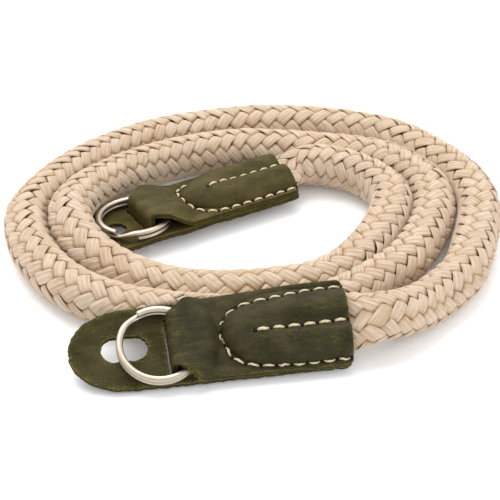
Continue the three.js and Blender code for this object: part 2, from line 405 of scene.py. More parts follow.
class Graph:
    """A material's nodes in the making."""

    def __init__(self, name: str) -> None:
        """Starts an empty material.

        Args:
            name: Its name.
        """
        self.material = bpy.data.materials.new(name)
        self.material.use_nodes = True
        self.tree = self.material.node_tree
        self.tree.nodes.clear()

    def node(
        self,
        kind: str,
        settings: dict[str, Any] | None = None,
        sockets: dict[str | int, Any] | None = None,
        output: str | int = 0,
    ) -> Shade:
        """Adds a node.

        Args:
            kind: The node's type.
            settings: What is set on the node itself, before its sockets.
            sockets: A value, a colour or another node's output for each input named or numbered.
            output: Which of its outputs to give back.

        Returns:
            That output.
        """
        made = self.tree.nodes.new(kind)
        for key, value in (settings or {}).items():
            setattr(made, key, value)
        for key, value in (sockets or {}).items():
            if isinstance(value, Shade):
                self.tree.links.new(value.socket, made.inputs[key])
            else:
                made.inputs[key].default_value = (*value, 1.0) if isinstance(value, tuple) else value
        return Shade(self, made.outputs[output] if made.outputs else None)

    def field(self, name: str) -> Shade:
        """A number that the mesh holds for each vertex."""
        return self.node("ShaderNodeAttribute", {"attribute_name": name}, None, "Fac")

    def lie(self) -> list[Shade]:
        """The two numbers of the mesh's own flat map."""
        uv = self.node("ShaderNodeUVMap", {"uv_map": "lie"})
        return [self.node("ShaderNodeSeparateXYZ", None, {0: uv}, number) for number in (0, 1)]

    def solid_place(self) -> Shade:
        """The place in the piece's own frame, in metres."""
        return self.node("ShaderNodeTexCoord", output="Object")

    def at(self, x: Shade | float, y: Shade | float) -> Shade:
        """A flat place for a pattern, from two numbers."""
        return self.node("ShaderNodeCombineXYZ", None, {0: x, 1: y})

    def noise(self, place: Shade, scale: float, detail: float = 2.0, rough: float = 0.5) -> Shade:
        """A cloudy pattern from 0 to 1."""
        sockets = {"Vector": place, "Scale": scale, "Detail": detail, "Roughness": rough}
        return self.node("ShaderNodeTexNoise", None, sockets)

    def mix(self, share: Shade, low: Shade | Colour, high: Shade | Colour) -> Shade:
        """A colour between two, by share."""
        return self.node("ShaderNodeMix", {"data_type": "RGBA"}, {0: share, 6: low, 7: high}, 2)

    def bump(self, height: Shade, deep: float) -> Shade:
        """A normal from a height pattern whose 1 stands that many millimetres up."""
        return self.node("ShaderNodeBump", None, {"Height": height, "Distance": deep * MM, "Strength": 1.0})

    def surface(self, sockets: dict[str, Any]) -> Material:
        """Ends the material in a Principled shader.

        Args:
            sockets: The shader's inputs.

        Returns:
            The material.
        """
        shader = self.node("ShaderNodeBsdfPrincipled", None, sockets)
        self.node("ShaderNodeOutputMaterial", None, {"Surface": shader})
        return self.material


SHINE = "Specular IOR Level"


@dataclass(frozen=True)
class CottonYarn:
    """Soft matte yarn of the rope: fine fibres along each strand, with painted shade down between the
    strands, tan and then near black.
    """

    light: Colour = (0.66, 0.53, 0.408)
    warm: Colour = (0.475, 0.338, 0.212)
    # tan and deep are painted shade for the creases between the strands, laid on by the mesh's depth.
    tan: Colour = (0.42, 0.262, 0.125)
    deep: Colour = (0.155, 0.075, 0.028)

    def build(self) -> Material:
        """Makes the material.

        Returns:
            The yarn.
        """
        g = Graph("cotton_yarn")
        across, along = g.lie()
        fibres = g.noise(g.at(across * 2.3, along * 0.20), 1.0, 4.0, 0.70)
        fine = g.noise(g.at(across * 8.0, along * 0.5), 1.0, 3.0, 0.65)
        strands = g.noise(g.at(across * 0.35, along * 0.09), 1.0)
        plies = (across * 5.4 + fibres * 3.0).sine() * 0.5 + 0.5
        # Tone varies at random with the fibres, and the plies' stripes paint a little shade into the
        # grooves between the plies.
        tone = (fibres * 1.2 + fine * 0.6 + strands * 0.6 + plies * 0.16 - 0.80).ramp(0.1, 0.80)
        worn = g.mix(tone, self.warm, self.light)
        # Painted shade: yarn that lies deeper between the strands is painted tan, and deeper still near
        # black.
        sunk = g.field("depth") + (0.5 - fibres) * 0.45
        crease_shaded = g.mix(sunk.ramp(0.0, 0.55) * 0.88, worn, self.tan)
        return g.surface({
            "Base Color": g.mix(sunk.ramp(0.38, 0.84), crease_shaded, self.deep),
            "Roughness": 0.94,
            "Sheen Weight": 0.12,
            "Sheen Roughness": 0.5,
            SHINE: 0.12,
            "Normal": g.bump(fibres * 0.9 + fine * 0.35 + plies * 0.25, 0.36),
        })


@dataclass(frozen=True)
class RopeCore:
    """The rope's inner braid, seen only through the gaps of the outer one."""

    colour: Colour = (0.36, 0.215, 0.105)

    def build(self) -> Material:
        """Makes the material.

        Returns:
            The core's finish.
        """
        g = Graph("rope_core")
        across, along = g.lie()
        weave = g.noise(g.at(across, along * 0.4), 1.0, 3.0)
        colour = g.mix(weave, self.colour, tuple(0.6 * c for c in self.colour))
        return g.surface({"Base Color": colour, "Roughness": 0.95, "Normal": g.bump(weave, 0.2)})


@dataclass(frozen=True)
class GreasedLeather:
    """Waxed nubuck: mottled dark olive with browner smears, paler rubbed patches and fine speckles.

    Attributes:
        name: The material's name.
        dark: Its deep tone.
        mid: Its usual tone.
        pale: Where it is rubbed.
        brown: The tone of its smears.
        nap: How strongly its surface is napped, from 0, waxed smooth, to 1, suede.
    """

    name: str
    dark: Colour
    mid: Colour
    pale: Colour
    brown: Colour
    nap: float

    def build(self) -> Material:
        """Makes the material.

        Returns:
            The leather.
        """
        g = Graph(self.name)
        x, y = g.lie()
        place = g.at(x, y)
        clouds = g.noise(place, 0.17, 5.0, 0.62)
        smears = g.noise(g.at(x * 0.30, y * 0.85), 0.5, 6.0, 0.72)
        browner = g.noise(g.at(x * 0.11 + 7.0, y * 0.17), 1.0, 4.0, 0.6)
        scuffs = g.noise(g.at(x * 0.5, y * 2.0 + clouds * 4.0), 0.8, 5.0, 0.7)
        speckle = g.noise(place, 2.9, 4.0, 0.8)
        nap, calm = self.nap, 1 - 0.6 * self.nap
        tone = ((clouds - 0.5) * 0.75 + (smears - 0.5) * 0.7) * calm + (speckle - 0.5) * 0.5 + 0.305
        tone = tone.ramp(0.08, 0.62)
        grain = g.mix(tone, self.dark, self.mid)
        smeared = g.mix(browner.ramp(0.46, 0.66) * (0.75 - 0.35 * nap), grain, self.brown)
        rub = (smears - 0.50) * 1.2 * calm + (scuffs - 0.53) * (1.5 - nap) + g.field("wear") * 0.42
        rubbed = (rub + (speckle - 0.5) * (1.5 + 1.2 * nap)).ramp(0.05, 0.95)
        height = speckle * (0.3 + 0.9 * nap) + scuffs * 0.25 + smears * 0.5
        return g.surface({
            "Base Color": g.mix(rubbed, smeared, self.pale),
            "Roughness": (0.60 + 0.30 * nap) + (speckle - 0.5) * 0.2 - tone * 0.08,
            SHINE: 0.19 - 0.10 * nap,
            "Sheen Weight": 0.02 + 0.05 * nap,
            "Sheen Tint": self.pale,
            "Normal": g.bump(height, 0.18 + 0.12 * nap),
        })


@dataclass(frozen=True)
class CutEdge:
    """The raw cut edge of the leather, yellower and fibrous."""

    name: str
    dark: Colour = (0.020, 0.0165, 0.005)
    pale: Colour = (0.090, 0.072, 0.019)

    def build(self) -> Material:
        """Makes the material.

        Returns:
            The cut edge's finish.
        """
        g = Graph(self.name)
        fibres = g.noise(g.solid_place(), 2600.0, 4.0, 0.7)
        patches = g.noise(g.solid_place(), 320.0)
        colour = g.mix((fibres * 0.8 + patches * 0.5 - 0.3).ramp(0.1, 0.75), self.dark, self.pale)
        normal = g.bump(fibres, 0.25)
        return g.surface({"Base Color": colour, "Roughness": 0.95, SHINE: 0.15, "Normal": normal})


@dataclass(frozen=True)
class WaxedThread:
    """Cream waxed stitching thread, painted darker as shade where it dips into its holes and in its ply
    grooves; the plugs in the holes are painted black as their shade.
    """

    light: Colour = (0.66, 0.56, 0.37)
    shade: Colour = (0.36, 0.27, 0.145)
    # hole: painted black shade for the plugs in the stitch holes.
    hole: Colour = (0.004, 0.004, 0.002)

    def build(self) -> Material:
        """Makes the material.

        Returns:
            The thread.
        """
        g = Graph("waxed_thread")
        depth = g.field("depth")
        fibres = g.noise(g.solid_place(), 3000.0, 3.0)
        # Painted shade: the thread darkens with its depth, toward its holes and in its ply grooves.
        thread = g.mix(1.1 - depth * 1.2 + fibres * 0.4 - 0.3, self.shade, self.light)
        # The plugs, whose depth is over 2, are painted black as the holes' shade.
        colour = g.mix(depth.ramp(2.0, 2.5), thread, self.hole)
        normal = g.bump(fibres, 0.05)
        return g.surface({"Base Color": colour, "Roughness": 0.7, SHINE: 0.2, "Normal": normal})


@dataclass(frozen=True)
class Nickel:
    """Polished nickel spring wire with fine rubbing marks."""

    colour: Colour = (0.55, 0.478, 0.375)

    def build(self) -> Material:
        """Makes the material.

        Returns:
            The nickel.
        """
        g = Graph("nickel")
        across, along = g.lie()
        rubbing = g.noise(g.at(across * 9.0, along * 0.5), 1.0, 4.0, 0.7)
        dull = g.noise(g.at(across, along * 0.6), 0.8)
        colour = g.mix(dull, self.colour, tuple(0.8 * c for c in self.colour))
        rough, normal = 0.24 + rubbing * 0.22, g.bump(rubbing, 0.02)
        return g.surface({"Base Color": colour, "Metallic": 1.0, "Roughness": rough, "Normal": normal})


@dataclass(frozen=True)
class PlainMatte:
    """One even matte colour, which may glow a little: loose fibres and the floor."""

    name: str
    colour: Colour
    glow: float = 0.0

    def build(self) -> Material:
        """Makes the material."""
        glow = {"Emission Color": self.colour, "Emission Strength": self.glow} if self.glow else {}
        return Graph(self.name).surface({"Base Color": self.colour, "Roughness": 0.9, SHINE: 0.1, **glow})


# ---- leather ends


@dataclass(frozen=True)
class EndShape:
    """The sizes that both leather ends share.

    A leather end's own frame has +X from its mouth to its tab's tip, +Y to its near edge and
    z = 0 at the tab's upper face.
    """

    leather: float = 1.6
    gap: float = 0.3
    width: float = 20.6
    length: float = 64.0
    tip: float = 13.5
    corner: float = 1.6
    channel_width: float = 17.2
    channel_round: float = 16.5
    channel_end: float = 28.8
    channel_valley: float = 0.38
    valley_end: tuple[float, float] = (14.0, 24.0)
    channel_rise: float = 4.3
    rope_lift: float = 2.3
    rope_width: float = 14.4
    rope_inside: float = 20.0
    ring_outer: float = 19.6
    wire_width: float = 1.6
    wire_height: float = 1.1
    wire_pitch: float = 1.3
    ring_step: float = 0.3
    fold_radius: float = 1.3
    tongue: float = 12.9
    tongue_aside: float = 0.45
    taper: tuple[float, float] = (-6.0, 1.0)
    tongue_return: float = 9.0
    slit: tuple[float, float] = (2.5, 14.0)
    slot: tuple[float, float] = (10.7, 6.1)
    slot_centre: float = 51.2
    droop_from: float = 44.0
    twist_over: tuple[float, float] = (6.0, 33.0)

    def share(self, x: Array) -> Array:
        """How far the rope channels reach at x, from 1 down to 0 at their rounded end."""
        into = (x - self.channel_round) / (self.channel_end - self.channel_round)
        return np.sqrt(1 - np.clip(into, 0, 1) ** 2)

    def channels(self, x: Array, y: Array) -> Array:
        """The shape of the two channels that hold the rope side by side.

        Args:
            x: Places along the leather end.
            y: Places across it.

        Returns:
            Its height, from 0 at the stitching to about 0.9.
        """
        share = self.share(x)
        across = 2 * np.abs(y) / (self.channel_width * np.maximum(share, 0.05))
        deep = self.channel_valley * (1 - smoothstep(x, *self.valley_end))
        return np.where(across < 1, share * (1 - across**3) * (1 - deep * bell(across / 0.25)), 0.0)

    def half_width(self, x: Array) -> Array:
        """Half the width at x, with round corners at the mouth."""
        corner = np.clip(self.corner - x, 0, self.corner)
        return self.width / 2 - self.corner + np.sqrt(self.corner**2 - corner**2)


SHAPE = EndShape()
DOWN = np.array([0, 0, -1.0])
LOWER_EDGE = np.array([0, SHAPE.width / 2, -SHAPE.leather])


@dataclass(frozen=True)
class Place:
    """Where a leather end lies and how it bends.

    Attributes:
        at: The middle of its mouth, at the tab's upper face.
        turn: The turn of its length about Z, in degrees.
        tilt: The rise of its far edge at the mouth, in degrees.
        twist: How much flatter its tab lies than its mouth, in degrees.
        fold: The middle of the tongue's upright stretch, along it.
        flare: How far the upper leather's near edge lifts beside the ring.
        droop: How far the tab's tip bends down.
        split: Where the ring's ends lie, as an angle about its axis.
        ring: The ring's middle, along the end and toward its near edge.
        ramp: The upper leather comes down between these distances from the ring's middle.
    """

    at: tuple[float, float, float]
    turn: float
    tilt: float
    twist: float
    fold: float
    flare: float
    droop: float
    split: float
    ring: tuple[float, float]
    ramp: tuple[float, float]

    def _twisted(self, points: Array, way: int) -> Array:
        """The points with their twist (way 1), or with it taken off (-1)."""
        angle = way * smoothstep(points[..., 0], *SHAPE.twist_over) * math.radians(self.twist)
        return turned(points - LOWER_EDGE, 0, angle) + LOWER_EDGE

    def _drooped(self, points: Array, way: int) -> Array:
        """The points with their tab's droop (way 1), or with it taken off (-1)."""
        into = np.maximum(points[..., 0] - SHAPE.droop_from, 0) / (SHAPE.length - SHAPE.droop_from)
        return points + (way * self.droop * into**2)[..., None] * DOWN

    def direction(self, vectors: Array) -> Array:
        """Directions of the leather end at its mouth, in the strap's frame."""
        return turned(turned(vectors, 0, -math.radians(self.tilt)), 2, math.radians(self.turn))

    def outward(self, points: Array) -> Array:
        """Points of the straight leather end in the strap's frame."""
        return self.direction(self._twisted(self._drooped(points, 1), 1)) + self.at

    def inward(self, points: Array) -> Array:
        """Points of the strap's frame in the straight leather end's."""
        level = turned(points - np.array(self.at), 2, -math.radians(self.turn))
        return self._drooped(self._twisted(turned(level, 0, math.radians(self.tilt)), -1), -1)


FRONT = Place((21.2, -41.6, 7.55), 190, 35, 11, 40.5, 0, 0, 5.48, (43.4, 0.8), (10.7, 13.8))
REAR = Place((7.2, 27.3, 4.0), 209.5, -4, 0, 41.4, 0.8, 2, 0.9, (43.5, 0.4), (10.3, 15.8))


@dataclass(frozen=True)
class Seam:
    """A line of stitches through a leather end.

    Attributes:
        line: Points (x, y) that it passes through.
        pitch: From one hole to the next.
        thread: The thread's thickness.
        bore: A hole's size.
    """

    line: Knots
    pitch: float
    thread: float
    bore: float

    def holes(self) -> Array:
        """Spaces the holes out along the line.

        Returns:
            Their places, a row each.
        """
        smooth = catmull_rom(np.array([(x, y, 0.0) for x, y in self.line]), 12)
        total = lengths_along(smooth)[-1]
        count = max(2, round(total / self.pitch))
        return resampled(smooth, np.linspace(0, total, count + 1))[:, :2]


def near_holes(x: Array, y: Array, seams: Sequence[Seam]) -> tuple[Array, Array]:
    """How close points are to the seams.

    Args:
        x: The points' first numbers.
        y: Their second numbers.
        seams: The seams.

    Returns:
        Each point's distance to the nearest hole and to the nearest seam's line.
    """
    hole = line = np.full(x.shape, np.inf)
    for holes in (seam.holes() for seam in seams):
        for a, b in zip(holes[:-1], holes[1:]):
            step = b - a
            t = np.clip(((x - a[0]) * step[0] + (y - a[1]) * step[1]) / (step @ step), 0, 1)
            line = np.minimum(line, np.hypot(x - a[0] - t * step[0], y - a[1] - t * step[1]))
        for at in holes:
            hole = np.minimum(hole, np.hypot(x - at[0], y - at[1]))
    return hole, line


@dataclass(frozen=True)
class Stitch:
    """The shape of one stitch, a plump thread of two plies from hole to hole.

    Attributes:
        stops: Rings of vertices along it.
        sides: Vertices in a ring.
        flat: Its height as a share of its width.
        inset: How far from the holes it ends, as a share of its length, and how much that varies.
        arch: How far its middle rises above its ends.
        sunk: How far its ends lie under the leather.
        thinnest: The width of its ends, as a share of its middle's.
        ply_groove: How deep the grooves between its plies are.
        ply_turns: How often they wind round it.
        slant: How much it slants, and how much that varies.
        hole_sinks: The rings of the plug painted black as a hole's shade: their sizes, and how far each
            lies under the leather.
    """

    stops: int = 15
    sides: int = 10
    flat: float = 0.72
    inset: tuple[float, float] = (0.105, 0.03)
    arch: float = 0.50
    sunk: float = 0.45
    thinnest: float = 0.55
    ply_groove: float = 0.16
    ply_turns: float = 1.2
    slant: tuple[float, float] = (0.06, 0.05)
    hole_sinks: Knots = ((1.0, 0.26), (0.95, 0.13), (0.4, 0.115))


@dataclass(frozen=True)
class LeatherEnd:
    """One leather end with its tab, its upper leather, its stitching and its split ring.

    Attributes:
        name: The start of its pieces' names.
        place: Where it lies.
        body: The body of its ring.
        slot: The slot of its leather.
        seams: Its stitching.
        tones: Its leather's dark, mid, pale and brown tones.
        gain: How much lighter its tab's nubuck is; kept low where a tab is painted darker as its shade.
        seed: What its unevenness is drawn from.
        nib: How far a small nib stands out at its tab's tip.
        ragged: How ragged its slot's far edge and its near shoulder are.
        grid: The spacing of its tab's points.
        edge_step: The spacing of the points of the tab's edges.
        edge_rows: How far inside its edges the next two rows of points lie.
        rough: How uneven its outline is, at most.
        edge_round: How far its cut edges are rounded.
        edge_bulge: How far their middle stands out, and how much that varies.
        dimple: How deep and how wide the leather sinks at a stitch hole.
        shoulder: How much less steeply the far side comes down beside the ring, and over what width.
        ply_gap: Between the sewn leathers' faces.
        tab_waves: The unevenness of the tab's faces: each wave's draw, height and length.
        cover_waves: The same of the upper leather.
        most_wave: The highest that it rises.
        tab_groove: How deep and how wide the seams' groove is under the tab.
        cover_groove: The same on the upper leather.
        worn: How far in from their edges the tab and the upper leather are worn.
        frayed: How many fibres stand along the mouth, and down the shoulder of a fully ragged end.
        stitch: The shape of its stitches.
    """

    name: str
    place: Place
    body: Body
    slot: Slot
    seams: tuple[Seam, ...]
    tones: tuple[Colour, ...]
    gain: float
    seed: int
    nib: float = 0.0
    ragged: float = 0.0
    grid: float = 0.5
    edge_step: float = 0.4
    edge_rows: tuple[float, float] = (0.14, 0.4)
    rough: float = 0.12
    edge_round: float = 0.32
    edge_bulge: tuple[float, float] = (0.05, 0.03)
    dimple: tuple[float, float] = (0.5, 0.42)
    shoulder: tuple[float, float, float] = (0.34, 1.0, 7.0)
    ply_gap: float = 0.03
    tab_waves: Waves = ((1, 0.10, 9.0), (2, 0.03, 2.2))
    cover_waves: Waves = ((5, 0.07, 8.0), (6, 0.025, 1.9))
    most_wave: float = 0.12
    tab_groove: tuple[float, float] = (0.16, 0.8)
    cover_groove: tuple[float, float] = (0.22, 0.75)
    worn: tuple[float, float] = (0.8, 0.7)
    frayed: tuple[int, int] = (70, 480)
    stitch: Stitch = Stitch()

    def _rounded(self, away: Array) -> Array:
        """From 1 at a cut edge to 0 where its rounding ends, at distances from the edge."""
        return 1 - np.sqrt(1 - (1 - np.clip(away / self.edge_round, 0, 1)) ** 2)

    def _dents(self, x: Array, y: Array, groove: float, reach: float) -> Array:
        """How far a face sinks at the stitches: a groove that deep and wide, and a dimple at each hole."""
        hole, line = near_holes(x, y, self.seams)
        return groove * bell(line / reach) + self.dimple[0] * bell(hole / self.dimple[1])

    def _uneven(self, x: Array, y: Array, waves: Waves) -> Array:
        """A face's height where it is uneven, the sum of some waves."""
        return sum(ripple(x, y, self.seed + draw, height, length) for draw, height, length in waves)

    # -- the lower leather

    def _tab_loops(self) -> list[Array]:
        """Draws the tab's flat shape.

        Returns:
            Its outline, its slot and its slit, each as a closed line of points.
        """
        s, half = SHAPE, SHAPE.width / 2
        rng = np.random.default_rng(self.seed)
        corner = [math.pi / 2 * k / 7 for k in range(7, -1, -1)]
        near = [(s.corner * (1 - math.sin(a)), half - s.corner * (1 - math.cos(a))) for a in corner]
        tip = np.linspace(math.pi / 2, -math.pi / 2, 60)
        middle = [(s.length - s.tip + s.tip * math.cos(a), half * math.sin(a)) for a in tip]
        outline = np.array([*near, *middle, *((x, -y) for x, y in near[::-1]), near[0]])
        length, width = s.slot
        turn = np.linspace(0, 2 * math.pi, 65)[::-1]
        x = s.slot_centre + np.sign(np.cos(turn)) * (length - width) / 2 + np.cos(turn) * width / 2
        slot = np.stack([x, np.sin(turn) * width / 2], -1)
        corners = np.array([(-1, -1), (-1, 1), (1, 1), (1, -1), (-1, -1)])
        slit = corners * s.slit / 2 + (self.place.fold - 0.05, s.tongue_aside)
        out = []
        for loop in (outline, slot, slit):
            total = lengths_along(loop)[-1]
            count = round(total / self.edge_step)
            even = resampled(loop, np.linspace(0, total, count, endpoint=False))
            x, y = even.T
            rough = rng.normal(0, 0.05, count) + ripple(x, y, self.seed, 0.09, 2.6)
            rough = np.clip(rough, -self.rough, self.rough)
            if loop is slot:
                torn = np.abs(ripple(x, y, self.seed + 4, 1.0, 1.3)) + rng.uniform(0, 0.5, count)
                rough = rough + self.ragged * torn * smoothstep(-y, 0, 2)
            nib = self.nib * bell((y - 0.4) / 0.35) * (x > s.length - 1)
            out.append(even - sideways(even) * (rough - nib)[:, None])
        return out

    def _tab_points(self, loops: Sequence[Array]) -> tuple[Array, list[Array], Array]:
        """Fills the tab's flat shape with points.

        Args:
            loops: Its closed lines.

        Returns:
            All points, the numbers of each loop's points, and each point's distance to the edge.
        """
        edge = np.vstack(loops)
        count = len(edge)
        numbers = np.split(np.arange(count), np.cumsum([len(loop) for loop in loops])[:-1])
        insets = [loop + inset * sideways(loop) for inset in self.edge_rows for loop in loops]
        xs = np.arange(0.6, SHAPE.length, self.grid)
        ys = np.arange(-SHAPE.width / 2, SHAPE.width / 2, self.grid)
        x, y = (v.ravel() for v in np.meshgrid(xs, ys))
        x = x + np.where(np.arange(len(x)) // len(xs) % 2, self.grid / 2, 0)
        every = np.vstack([edge, *insets, np.stack([x, y], -1)])
        away = np.array([np.hypot(*(edge - p).T).min() for p in every])
        least = np.repeat((0.08, 0.7), (3 * count, len(x)))
        keep = (away > least) & self._in_tab(every, loops)
        keep[:count] = True
        away[:count] = 0
        return every[keep], numbers, away[keep]

    @staticmethod
    def _in_tab(points: Array, loops: Sequence[Array]) -> Array:
        """Whether points lie in the tab's leather, by counting the edges to one side of them.

        Args:
            points: The flat points.
            loops: The tab's closed lines.

        Returns:
            True or False for each.
        """
        x, y = points.T
        inside = np.zeros(len(points), bool)
        for loop in loops:
            for (ax, ay), (bx, by) in zip(loop, np.roll(loop, -1, 0)):
                if ay != by:
                    inside ^= ((ay > y) != (by > y)) & (x < ax + (y - ay) * (bx - ax) / (by - ay))
        return inside

    def tab(self, finishes: list[Material]) -> Piece:
        """The lower leather, which runs on as the slotted tab.

        Args:
            finishes: Its upper face, its lower face and its cut edge.

        Returns:
            The piece.
        """
        loops = self._tab_loops()
        flat, numbers, away = self._tab_points(loops)
        edges = [pair for n in numbers for pair in zip(n.tolist(), np.roll(n, -1).tolist())]
        found = delaunay_2d_cdt([Vector(p) for p in flat], edges, [], 0, 1e-7)
        verts, faces = np.array(found[0], float), np.array(found[2], int)
        faces = faces[self._in_tab(verts[faces].mean(1), loops)]
        (bx, by), (cx, cy) = ((verts[faces[:, i]] - verts[faces[:, 0]]).T for i in (1, 2))
        area = bx * cy - by * cx
        faces = np.where((area < 0)[:, None], faces[:, ::-1], faces)[np.abs(area) > 1e-7]
        x, y = verts.T
        n = len(verts)
        rounding = 0.85 * self.edge_round * self._rounded(away)
        wave = self._uneven(x, y, self.tab_waves) * smoothstep(x, 2, 12)
        dents = self._dents(x, y, *self.tab_groove)
        top = np.c_[verts, np.minimum(wave, self.most_wave) - rounding - 0.4 * dents]
        bottom = np.c_[verts, wave - SHAPE.leather + rounding + dents]
        points, sides = [top, bottom], []
        rng = np.random.default_rng(self.seed + 3)
        for ring in numbers:
            rows, out = [ring], -sideways(verts[ring])
            for share in (0.3, 0.7):
                push = rng.normal(*self.edge_bulge, len(ring))[:, None] * out
                level = top[ring, 2] * (1 - share) + bottom[ring, 2] * share
                rows.append(sum(map(len, points)) + np.arange(len(ring)))
                points.append(np.c_[verts[ring] + push, level])
            sides.append(walls([*rows, n + ring]))
        every = np.vstack(points)
        wear = np.exp(-away / self.worn[0])
        return Piece(
            f"{self.name}_tab",
            self.place.outward(every),
            [faces, faces[:, ::-1] + n, np.vstack(sides)[:, ::-1]],
            finishes,
            {"wear": np.concatenate([wear, wear, np.ones(len(every) - 2 * n)])},
            every[:, :2] + self.seed,
        )

    # -- the upper leather

    def _cover_line(self) -> Array:
        """The upper leather's middle line: along the end, down at the fold and back under the tab.

        Returns:
            Its points.
        """
        s, fold, r = SHAPE, self.place.fold, SHAPE.fold_radius
        over = 2 * s.gap + s.wire_height + s.wire_pitch + s.leather / 2
        under = -s.leather - s.gap - s.leather / 2
        line = [(0.0, over)]
        for level, first in ((over - r, math.pi / 2), (under + r, 0.0)):
            bend = np.linspace(first, first - math.pi / 2, 16)
            line += [(fold - r + r * math.cos(a), level + r * math.sin(a)) for a in bend]
        line.append((fold - s.tongue_return, under))
        return np.array([(x, 0.0, z) for x, z in line])

    def _cover_rise(self, x: Array, y: Array) -> Array:
        """How far the upper leather stands above its line.

        Args:
            x: Places along the end.
            y: Places across it.

        Returns:
            The rises.
        """
        s = SHAPE
        away = np.hypot(x - self.place.ring[0], y - self.place.ring[1])
        gentler, *side = self.shoulder
        away = away - gentler * np.maximum(away - self.place.ramp[0], 0) * smoothstep(-y, *side)
        down = 2 * s.gap + s.wire_height + s.wire_pitch - self.ply_gap
        beside = smoothstep(x, 31, 37) * smoothstep(y, 1, s.width / 2 - 1)
        lowered = smoothstep(away, *self.place.ramp) * down
        return s.channel_rise * s.channels(x, y) - lowered + self.place.flare * beside

    def _narrowed(self, along: Array, half: Array) -> tuple[Array, Array]:
        """Half the upper leather's width and its shift aside, where it narrows to its tongue."""
        taper = smoothstep(along, *(self.place.fold + end for end in SHAPE.taper))
        return half * (1 - taper) + SHAPE.tongue / 2 * taper, SHAPE.tongue_aside * taper

    def _cover_middle(self, along: Array, q: Array) -> Array:
        """Points of the upper leather's middle surface.

        Args:
            along: Distances along its line.
            q: Places across it, from -1 to 1.

        Returns:
            The points, in the straight leather end's frame.
        """
        fold, line = self.place.fold, self._cover_line()
        x, _, z = np.moveaxis(resampled(line, along), -1, 0)
        before = along < fold - SHAPE.fold_radius
        half, aside = self._narrowed(along, np.where(before, SHAPE.half_width(x), SHAPE.width / 2))
        y = q * half + aside
        down = smoothstep(z, 0, line[0, 2])
        rise = np.where(before, self._cover_rise(x, y), self._cover_rise(fold + 0 * x, y) * down)
        return np.stack([x, y, z + rise], -1)

    @staticmethod
    def _stops(total: float, step: float) -> Array:
        """Spaces out places from 0 to total, closer at both ends.

        Args:
            total: The last place.
            step: Between them in the middle.

        Returns:
            The places.
        """
        close = np.array([0, 0.1, 0.24, 0.42, 0.7])
        count = max(2, round((total - 2 * close[-1]) / step))
        middle = np.linspace(close[-1], total - close[-1], count + 1)[1:-1]
        return np.concatenate([close, middle, total - close[::-1]])

    def _cover_normal(self, a: Array, q: Array, small: float, end: float, side: float) -> Array:
        """The normals of the upper leather's middle surface.

        Args:
            a: Distances along its line.
            q: Places across it, from -1 to 1.
            small: How far apart the points are that give the slopes.
            end: The greatest distance along.
            side: The greatest place across.

        Returns:
            The normals.
        """
        ahead, behind = (self._cover_middle(np.clip(a + way, 0, end), q) for way in (small, -small))
        left, right = (self._cover_middle(a, np.clip(q + way, -side, side)) for way in (small, -small))
        return unit(np.cross(ahead - behind, left - right))

    def cover(self, finishes: list[Material]) -> Piece:
        """The upper leather, with its tongue folded through the ring and the tab.

        Args:
            finishes: Its upper face, its lower face and its cut edge.

        Returns:
            The piece.
        """
        s, fold = SHAPE, self.place.fold
        total = lengths_along(self._cover_line())[-1]
        q = self._stops(s.width, 0.4) / s.width * 2 - 1
        flat_x, across = np.meshgrid(self._stops(total, 0.42), q, indexing="ij")
        middle = self._cover_middle(flat_x, across)
        normal = self._cover_normal(flat_x, across, 2e-3, total, 1)
        x, y = middle[..., 0], middle[..., 1]
        edge = np.minimum(np.abs(y[:, -1:]) - np.abs(y), np.minimum(flat_x, total - flat_x))
        half = s.leather / 2 * (1 - 0.45 * self._rounded(edge))
        wave = self._uneven(flat_x, y, self.cover_waves)
        crease = 0.05 * np.sin(flat_x * 2.6 + ripple(flat_x, y, self.seed + 7, 1.3, 5.0))
        wave = (wave + crease * smoothstep(flat_x, fold - 12, fold - 5)) * smoothstep(edge, 0, 1.5)
        rise = half + np.minimum(wave, self.most_wave) - self._dents(flat_x, y, *self.cover_groove)
        top, bottom = middle + normal * rise[..., None], middle - normal * half[..., None]
        flat = np.vstack([top.reshape(-1, 3), bottom.reshape(-1, 3)])
        n = x.size
        number = np.arange(n).reshape(x.shape)
        quads = np.stack([number[:-1, :-1], number[1:, :-1], number[1:, 1:], number[:-1, 1:]], -1)
        quads = quads.reshape(-1, 4)
        ring = np.concatenate([number[:-1, 0], number[-1, :-1], number[:0:-1, -1], number[0, :0:-1]])
        rng = np.random.default_rng(self.seed + 8)
        mids = (flat[ring] + flat[ring + n]) / 2
        mids += unit(mids * (0, 1, 0) + 1e-9) * rng.normal(*self.edge_bulge, len(ring))[:, None]
        every = np.vstack([flat, mids])
        ridge = np.clip(1 - np.abs(s.channels(x, y) - 0.86) / 0.12, 0, 1)
        wear = np.maximum(np.exp(-edge / self.worn[1]), 0.30 * ridge)
        wear = np.maximum(wear, 0.45 * bell((flat_x - fold + 0.5) / 2.2)).ravel()
        uv = np.stack([flat_x, y], -1).reshape(-1, 2) + 3.7 * self.seed
        return Piece(
            f"{self.name}_sleeve",
            self.place.outward(every),
            [quads, quads[:, ::-1] + n, walls([ring, 2 * n + np.arange(len(ring)), ring + n])],
            finishes,
            {"wear": np.concatenate([wear, wear, np.ones(len(ring))])},
            np.vstack([uv, uv, uv[ring]]),
        )

    def cover_top(self, spots: Array) -> tuple[Array, Array]:
        """The upper leather's upper face before its fold.

        Args:
            spots: Places (x, y), a row each.

        Returns:
            The points of the face and its normals, in the straight leather end's frame.
        """
        x, y = spots.T
        half, aside = self._narrowed(x, SHAPE.half_width(x))
        q = (y - aside) / half
        normal = self._cover_normal(x, q, 1e-2, np.inf, np.inf)
        return self._cover_middle(x, q) + normal * SHAPE.leather / 2, normal

